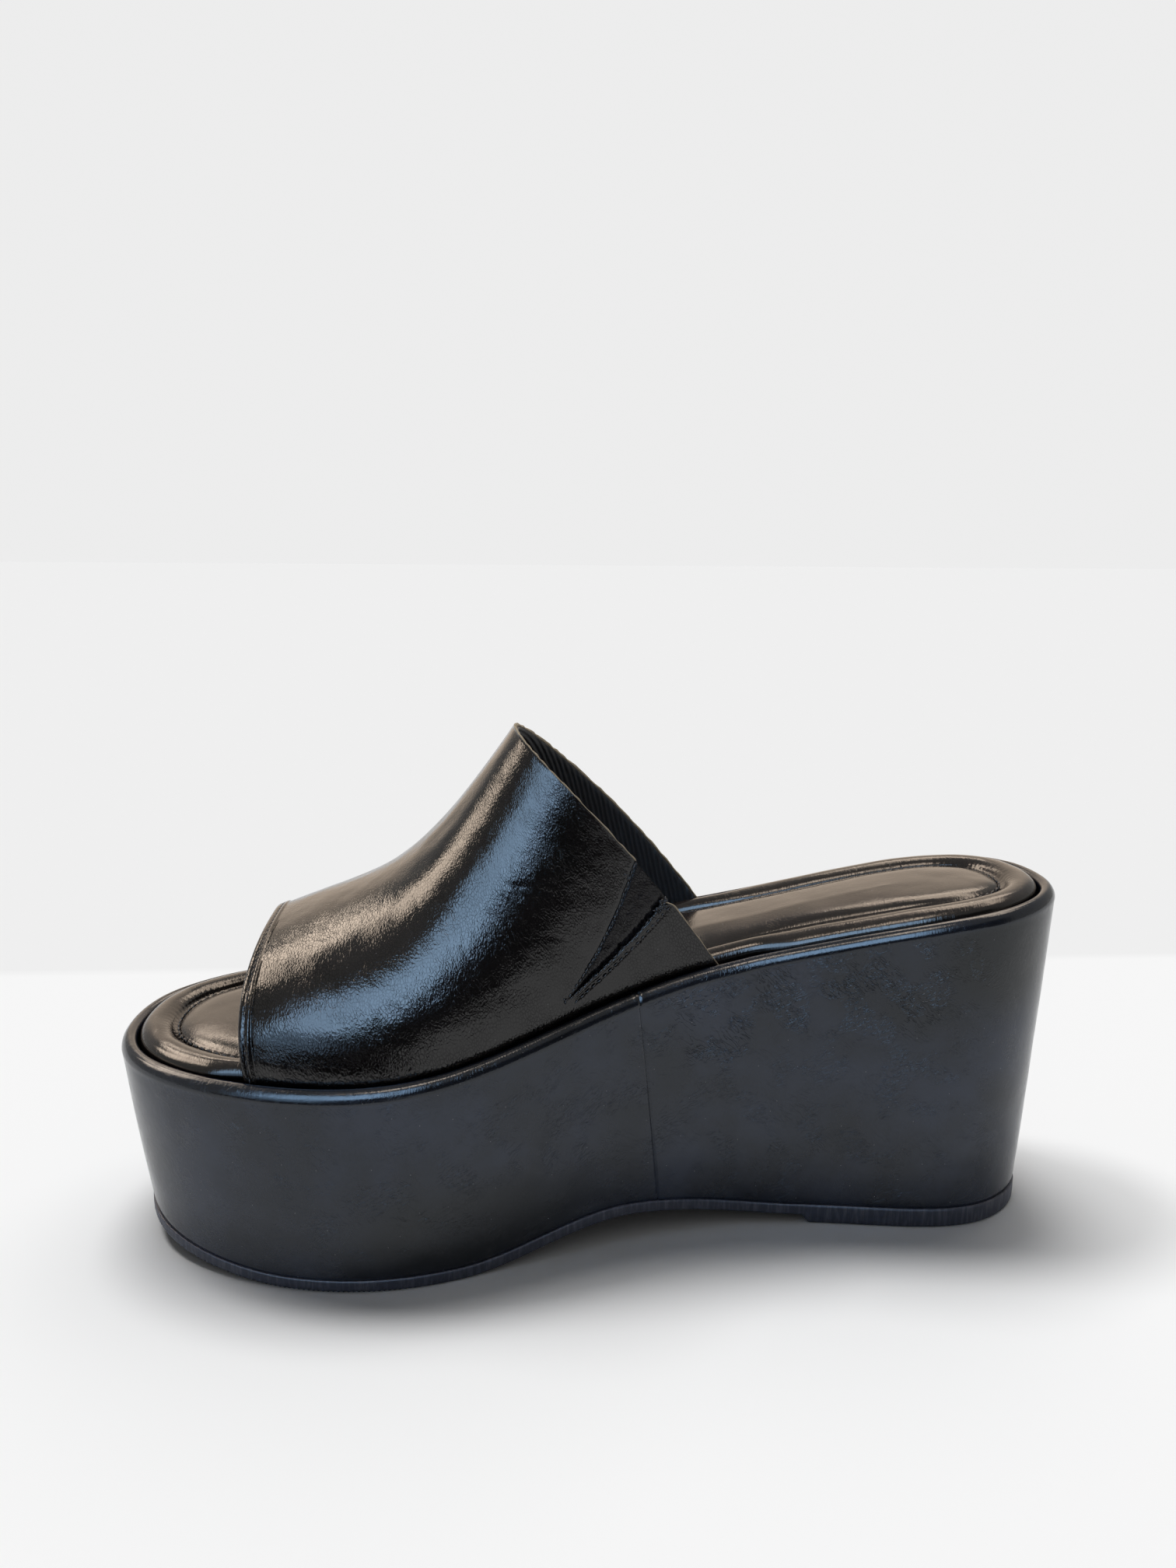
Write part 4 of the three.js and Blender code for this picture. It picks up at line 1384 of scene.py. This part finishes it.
LINING_COLUMNS = 200
LINING_LOW_COLUMNS = 12
LINING_ROWS_AHEAD = 54
LINING_ROWS_BEHIND = 28
LINING_FRONT = 0.006
LINING_BACK = 0.9985
LINING_OPENING = 0.012
LINING_INSET = 1.5
RIB_PITCH = 1.4


def make_lining(material):
    tip = NOTCH_TIP["step"]
    ahead = np.linspace(LINING_FRONT, tip - LINING_OPENING, LINING_ROWS_AHEAD)
    steps = np.concatenate([ahead, np.linspace(tip, LINING_BACK, LINING_ROWS_BEHIND)])
    low = np.linspace(0, 1, LINING_LOW_COLUMNS + 1)
    high = np.linspace(0, 1, LINING_COLUMNS + 1) ** 1.2
    grids = []
    for depth in (LINING_TOP, STRAP_WALL + 0.02):
        grid = []
        for step in steps:
            width = round_length(step)
            share = smooth_step((step - tip + LINING_OPENING) / LINING_OPENING)
            low_end = notch_seam(step, NOTCH_LOWER) - LINING_INSET / width * share
            high_end = notch_seam(step, NOTCH_UPPER) + LINING_INSET / width * share
            rounds = np.concatenate([low * low_end, high_end + (2 - high_end) * high])
            s = np.full_like(rounds, step)
            grid.append(strap_point(s, rounds) - strap_normal(s, rounds) * depth)
        grids.append(np.array(grid))
    points, faces = slit_body(*grids, LINING_ROWS_AHEAD, LINING_LOW_COLUMNS, 1)
    uv = np.concatenate([surface_walk(grid).reshape(-1, 2) for grid in grids])
    points, faces, uv = drop_unused(points, faces, uv)
    return make_piece(
        "strap_lining", points, faces, uv=uv, node="upper", slot="strap_patent", material=material
    )


def make_gusset(material):
    share = np.linspace(0.03, 1.0, 130)
    across = np.linspace(0, 1, 41)
    grids = []
    for lower in (False, True):
        grid = []
        for s in share:
            step = NOTCH_TIP["step"] + s * (1 - NOTCH_TIP["step"])
            width = round_length(step)
            under = 0.9 / width
            low_end = notch_seam(step, NOTCH_LOWER) - under
            high_end = notch_seam(step, NOTCH_UPPER) + under
            rounds = low_end + (high_end - low_end) * across
            steps = np.full_like(rounds, step)
            mm = (high_end - low_end) * width * across
            pucker = 0.2 * soft_noise(steps * 100 - mm * 0.3, mm * 0.13, 0.75, 51)
            pucker = pucker * np.exp(-(((mm - 1.5) / 4.5) ** 2))
            u = steps * 100
            wrinkle = pucker + 0.06 * soft_noise(u, mm, 1.1, 52) + 0.06 * soft_noise(u, mm, 3.0, 53)
            opening = min(1, s * 5)
            low_dip = 0.75 * np.exp(-(((mm - 0.7) / (0.8 + 0.9 * s)) ** 2)) * opening
            high_dip = 0.45 * np.exp(-(((mm[-1] - mm - 0.8) / 0.55) ** 2)) * opening
            edge = smooth_step(np.minimum(mm, mm[-1] - mm) / 0.9)
            depth = np.full_like(mm, 1.4) if lower else np.minimum(0.4 + low_dip + high_dip, 1.2)
            height = -depth + (0 if lower else wrinkle * edge * opening)
            grid.append(strap_point(steps, rounds) + strap_normal(steps, rounds) * height[..., None])
        grids.append(np.array(grid))
    points, faces = sheet_body(*grids)
    uv = np.concatenate([surface_walk(grid).reshape(-1, 2) for grid in grids])
    return make_piece(
        "gusset_inset", points, faces, uv=uv, node="gusset", slot="gusset_stretch", material=material
    )


# Stitches: short rounded threads along a path on a surface

STITCH_SIDES = 6
STITCH_RINGS = 5
# Thread knots at the seams' ends: step, round, number of threads and spread along the seam
KNOTS = [(0.975, 0.2, 26, 1.5), (0.99, 0.212, 14, 0.8), (0.7, 0.112, 5, 0.7), (0.965, 0.3, 5, 0.6)]


def stitch_body(starts, ends, normals, radius, sink):
    """Points and faces of one thread for each start and end, arched over its middle."""
    points, faces = [], []
    for a, b, n in zip(starts, ends, normals):
        axis = b - a
        length = np.linalg.norm(axis)
        axis = axis / length
        side = np.cross(axis, n)
        side /= np.linalg.norm(side)
        base = len(points)
        for i in range(STITCH_RINGS + 1):
            t = i / STITCH_RINGS
            fat = radius * (0.35 + 0.65 * math.sin(math.pi * (0.08 + 0.84 * t)) ** 0.6)
            centre = a + axis * length * t + n * (radius * 0.9 * math.sin(math.pi * t) - sink)
            for k in range(STITCH_SIDES):
                angle = TURN * k / STITCH_SIDES
                points.append(centre + side * fat * math.cos(angle) + n * fat * math.sin(angle))
        for i in range(STITCH_RINGS):
            for k in range(STITCH_SIDES):
                p = base + i * STITCH_SIDES + k
                q = base + i * STITCH_SIDES + (k + 1) % STITCH_SIDES
                faces.append([p, q, q + STITCH_SIDES, p + STITCH_SIDES])
        faces.append([base + k for k in range(STITCH_SIDES)][::-1])
        faces.append([base + STITCH_RINGS * STITCH_SIDES + k for k in range(STITCH_SIDES)])
    return np.array(points), faces


def stitch_path(points, normals, pitch, length):
    """Starts, ends and normals of stitches along a polyline."""
    gaps = np.linalg.norm(np.diff(points, axis=0), axis=1)
    walk = np.concatenate([[0], np.cumsum(gaps)])
    count = int(walk[-1] // pitch)
    at = (np.arange(count) + 0.5) * walk[-1] / count

    def along(place):
        return np.stack([np.interp(place, walk, points[:, k]) for k in range(3)], -1)

    def facing(place):
        n = np.stack([np.interp(place, walk, normals[:, k]) for k in range(3)], -1)
        return n / np.linalg.norm(n, axis=-1, keepdims=True)

    return along(at - length / 2), along(at + length / 2), facing(at)


def make_stitches(material):
    ring = Outline(np.arange(OUTLINE_COLUMNS + 1) / OUTLINE_COLUMNS)
    x, y = ring.inset(CHANNEL_INSET - 0.35)
    path = np.stack([x, y, rim_top(x) + TUBE_RISE - CHANNEL_SINK - CHANNEL_BED * 0.6], -1)
    up = np.tile([0.0, 0.0, 1.0], (len(path), 1))
    points, faces = stitch_body(*stitch_path(path, up, PUCKER_PITCH, 2.1), 0.34, 0.05)
    make_piece("insole_stitches", points, faces, node="insole", slot="insole_patent", material=material)
    rows = []
    rounds = np.linspace(0.02, 1.98, 400)
    step = 1.9 / local_length(rounds)
    rows.append((strap_point(step, rounds), strap_normal(step, rounds), 2.3, 1.6, 0.2, -0.02))
    share = np.linspace(0.02, 0.985, 200)
    steps = NOTCH_TIP["step"] + share * (1 - NOTCH_TIP["step"])
    for end, off, pitch, length, radius, sink in (
        (NOTCH_UPPER, 0.1, 1.5, 1.5, 0.26, 0.3), (NOTCH_LOWER, -0.25, 1.6, 1.5, 0.26, 0.34),
        (NOTCH_LOWER, -1.95, 1.9, 1.35, 0.2, 0.16),
    ):
        width = round_length(steps)
        stray = 0.18 * soft_noise(steps * 100, 0 * steps, 1.4, 48)
        rounds = notch_seam(steps, end) + (off + stray) / width
        rows.append((strap_point(steps, rounds), strap_normal(steps, rounds), pitch, length, radius, sink))
    all_points, all_faces, count = [], [], 0
    for points, normals, pitch, length, radius, sink in rows:
        body, faces = stitch_body(*stitch_path(points, normals, pitch, length), radius, sink)
        all_points.append(body)
        all_faces += [[k + count for k in f] for f in faces]
        count += len(body)
    rng = np.random.RandomState(49)
    for step, round_, threads, spread in KNOTS:
        centre, normal = strap_point(step, round_), strap_normal(step, round_)
        along = strap_point(step + 0.01, round_) - centre
        along /= np.linalg.norm(along)
        up = np.cross(along, normal)
        starts = centre + rng.uniform(-spread, spread, (threads, 1)) * along
        starts = starts + rng.uniform(-0.5, 0.5, (threads, 1)) * up
        angles = rng.uniform(0, TURN, (threads, 1))
        ends = starts + (np.cos(angles) * along + np.sin(angles) * up) * 0.85
        lift = rng.uniform(-0.35, 0.12, (threads, 1)) * normal
        body, faces = stitch_body(starts + lift, ends + lift, np.tile(normal, (threads, 1)), 0.24, 0.05)
        all_points.append(body)
        all_faces += [[k + count for k in f] for f in faces]
        count += len(body)
    points = np.concatenate(all_points)
    make_piece("strap_stitches", points, all_faces, node="upper", slot="strap_patent", material=material)


# Everything together

make_studio()
# The blue in the wall's colour and the bluish tint of its gloss are painted cool window light.
wall_leather = leather(
    "wall_leather", tint=(0.014, 0.019, 0.034), gloss=0.14, grain_size=0.9, grain=0.006, waves=0.028,
    webs=0.012, crazing=0.06, crinkle=0.022, sheen=(0.9, 0.95, 1.0),
)
pad_leather = leather(
    "pad_leather", tint=(0.012, 0.009, 0.008), gloss=0.15, grain_size=0.55, grain=0.014, waves=0.05, webs=0.01
)
strap_skin = leather(
    "strap_skin", tint=(0.003, 0.0025, 0.003), gloss=0.11, grain_size=0.62, grain=0.03, waves=0.09,
    webs=0.014, edge=(0.36, 0.30, 0.22),
)
gusset_skin = leather(
    "gusset_skin", tint=(0.005, 0.0045, 0.006), gloss=0.24, grain_size=0.6, grain=0.05, waves=0.08,
    webs=0.05, shine=0.3,
)
thread = thread_material("thread")
make_platform(wall_leather)
make_outsole(rubber("rubber"))
make_insole(pad_leather)
make_strap(strap_skin)
make_lining(ribbed_lining("lining"))
make_gusset(gusset_skin)
make_stitches(thread)

scene = bpy.context.scene
scene.view_settings.view_transform = "Standard"
scene.cycles.use_denoising = True
scene.cycles.max_bounces = 4
scene.cycles.diffuse_bounces = 1
scene.cycles.glossy_bounces = 2
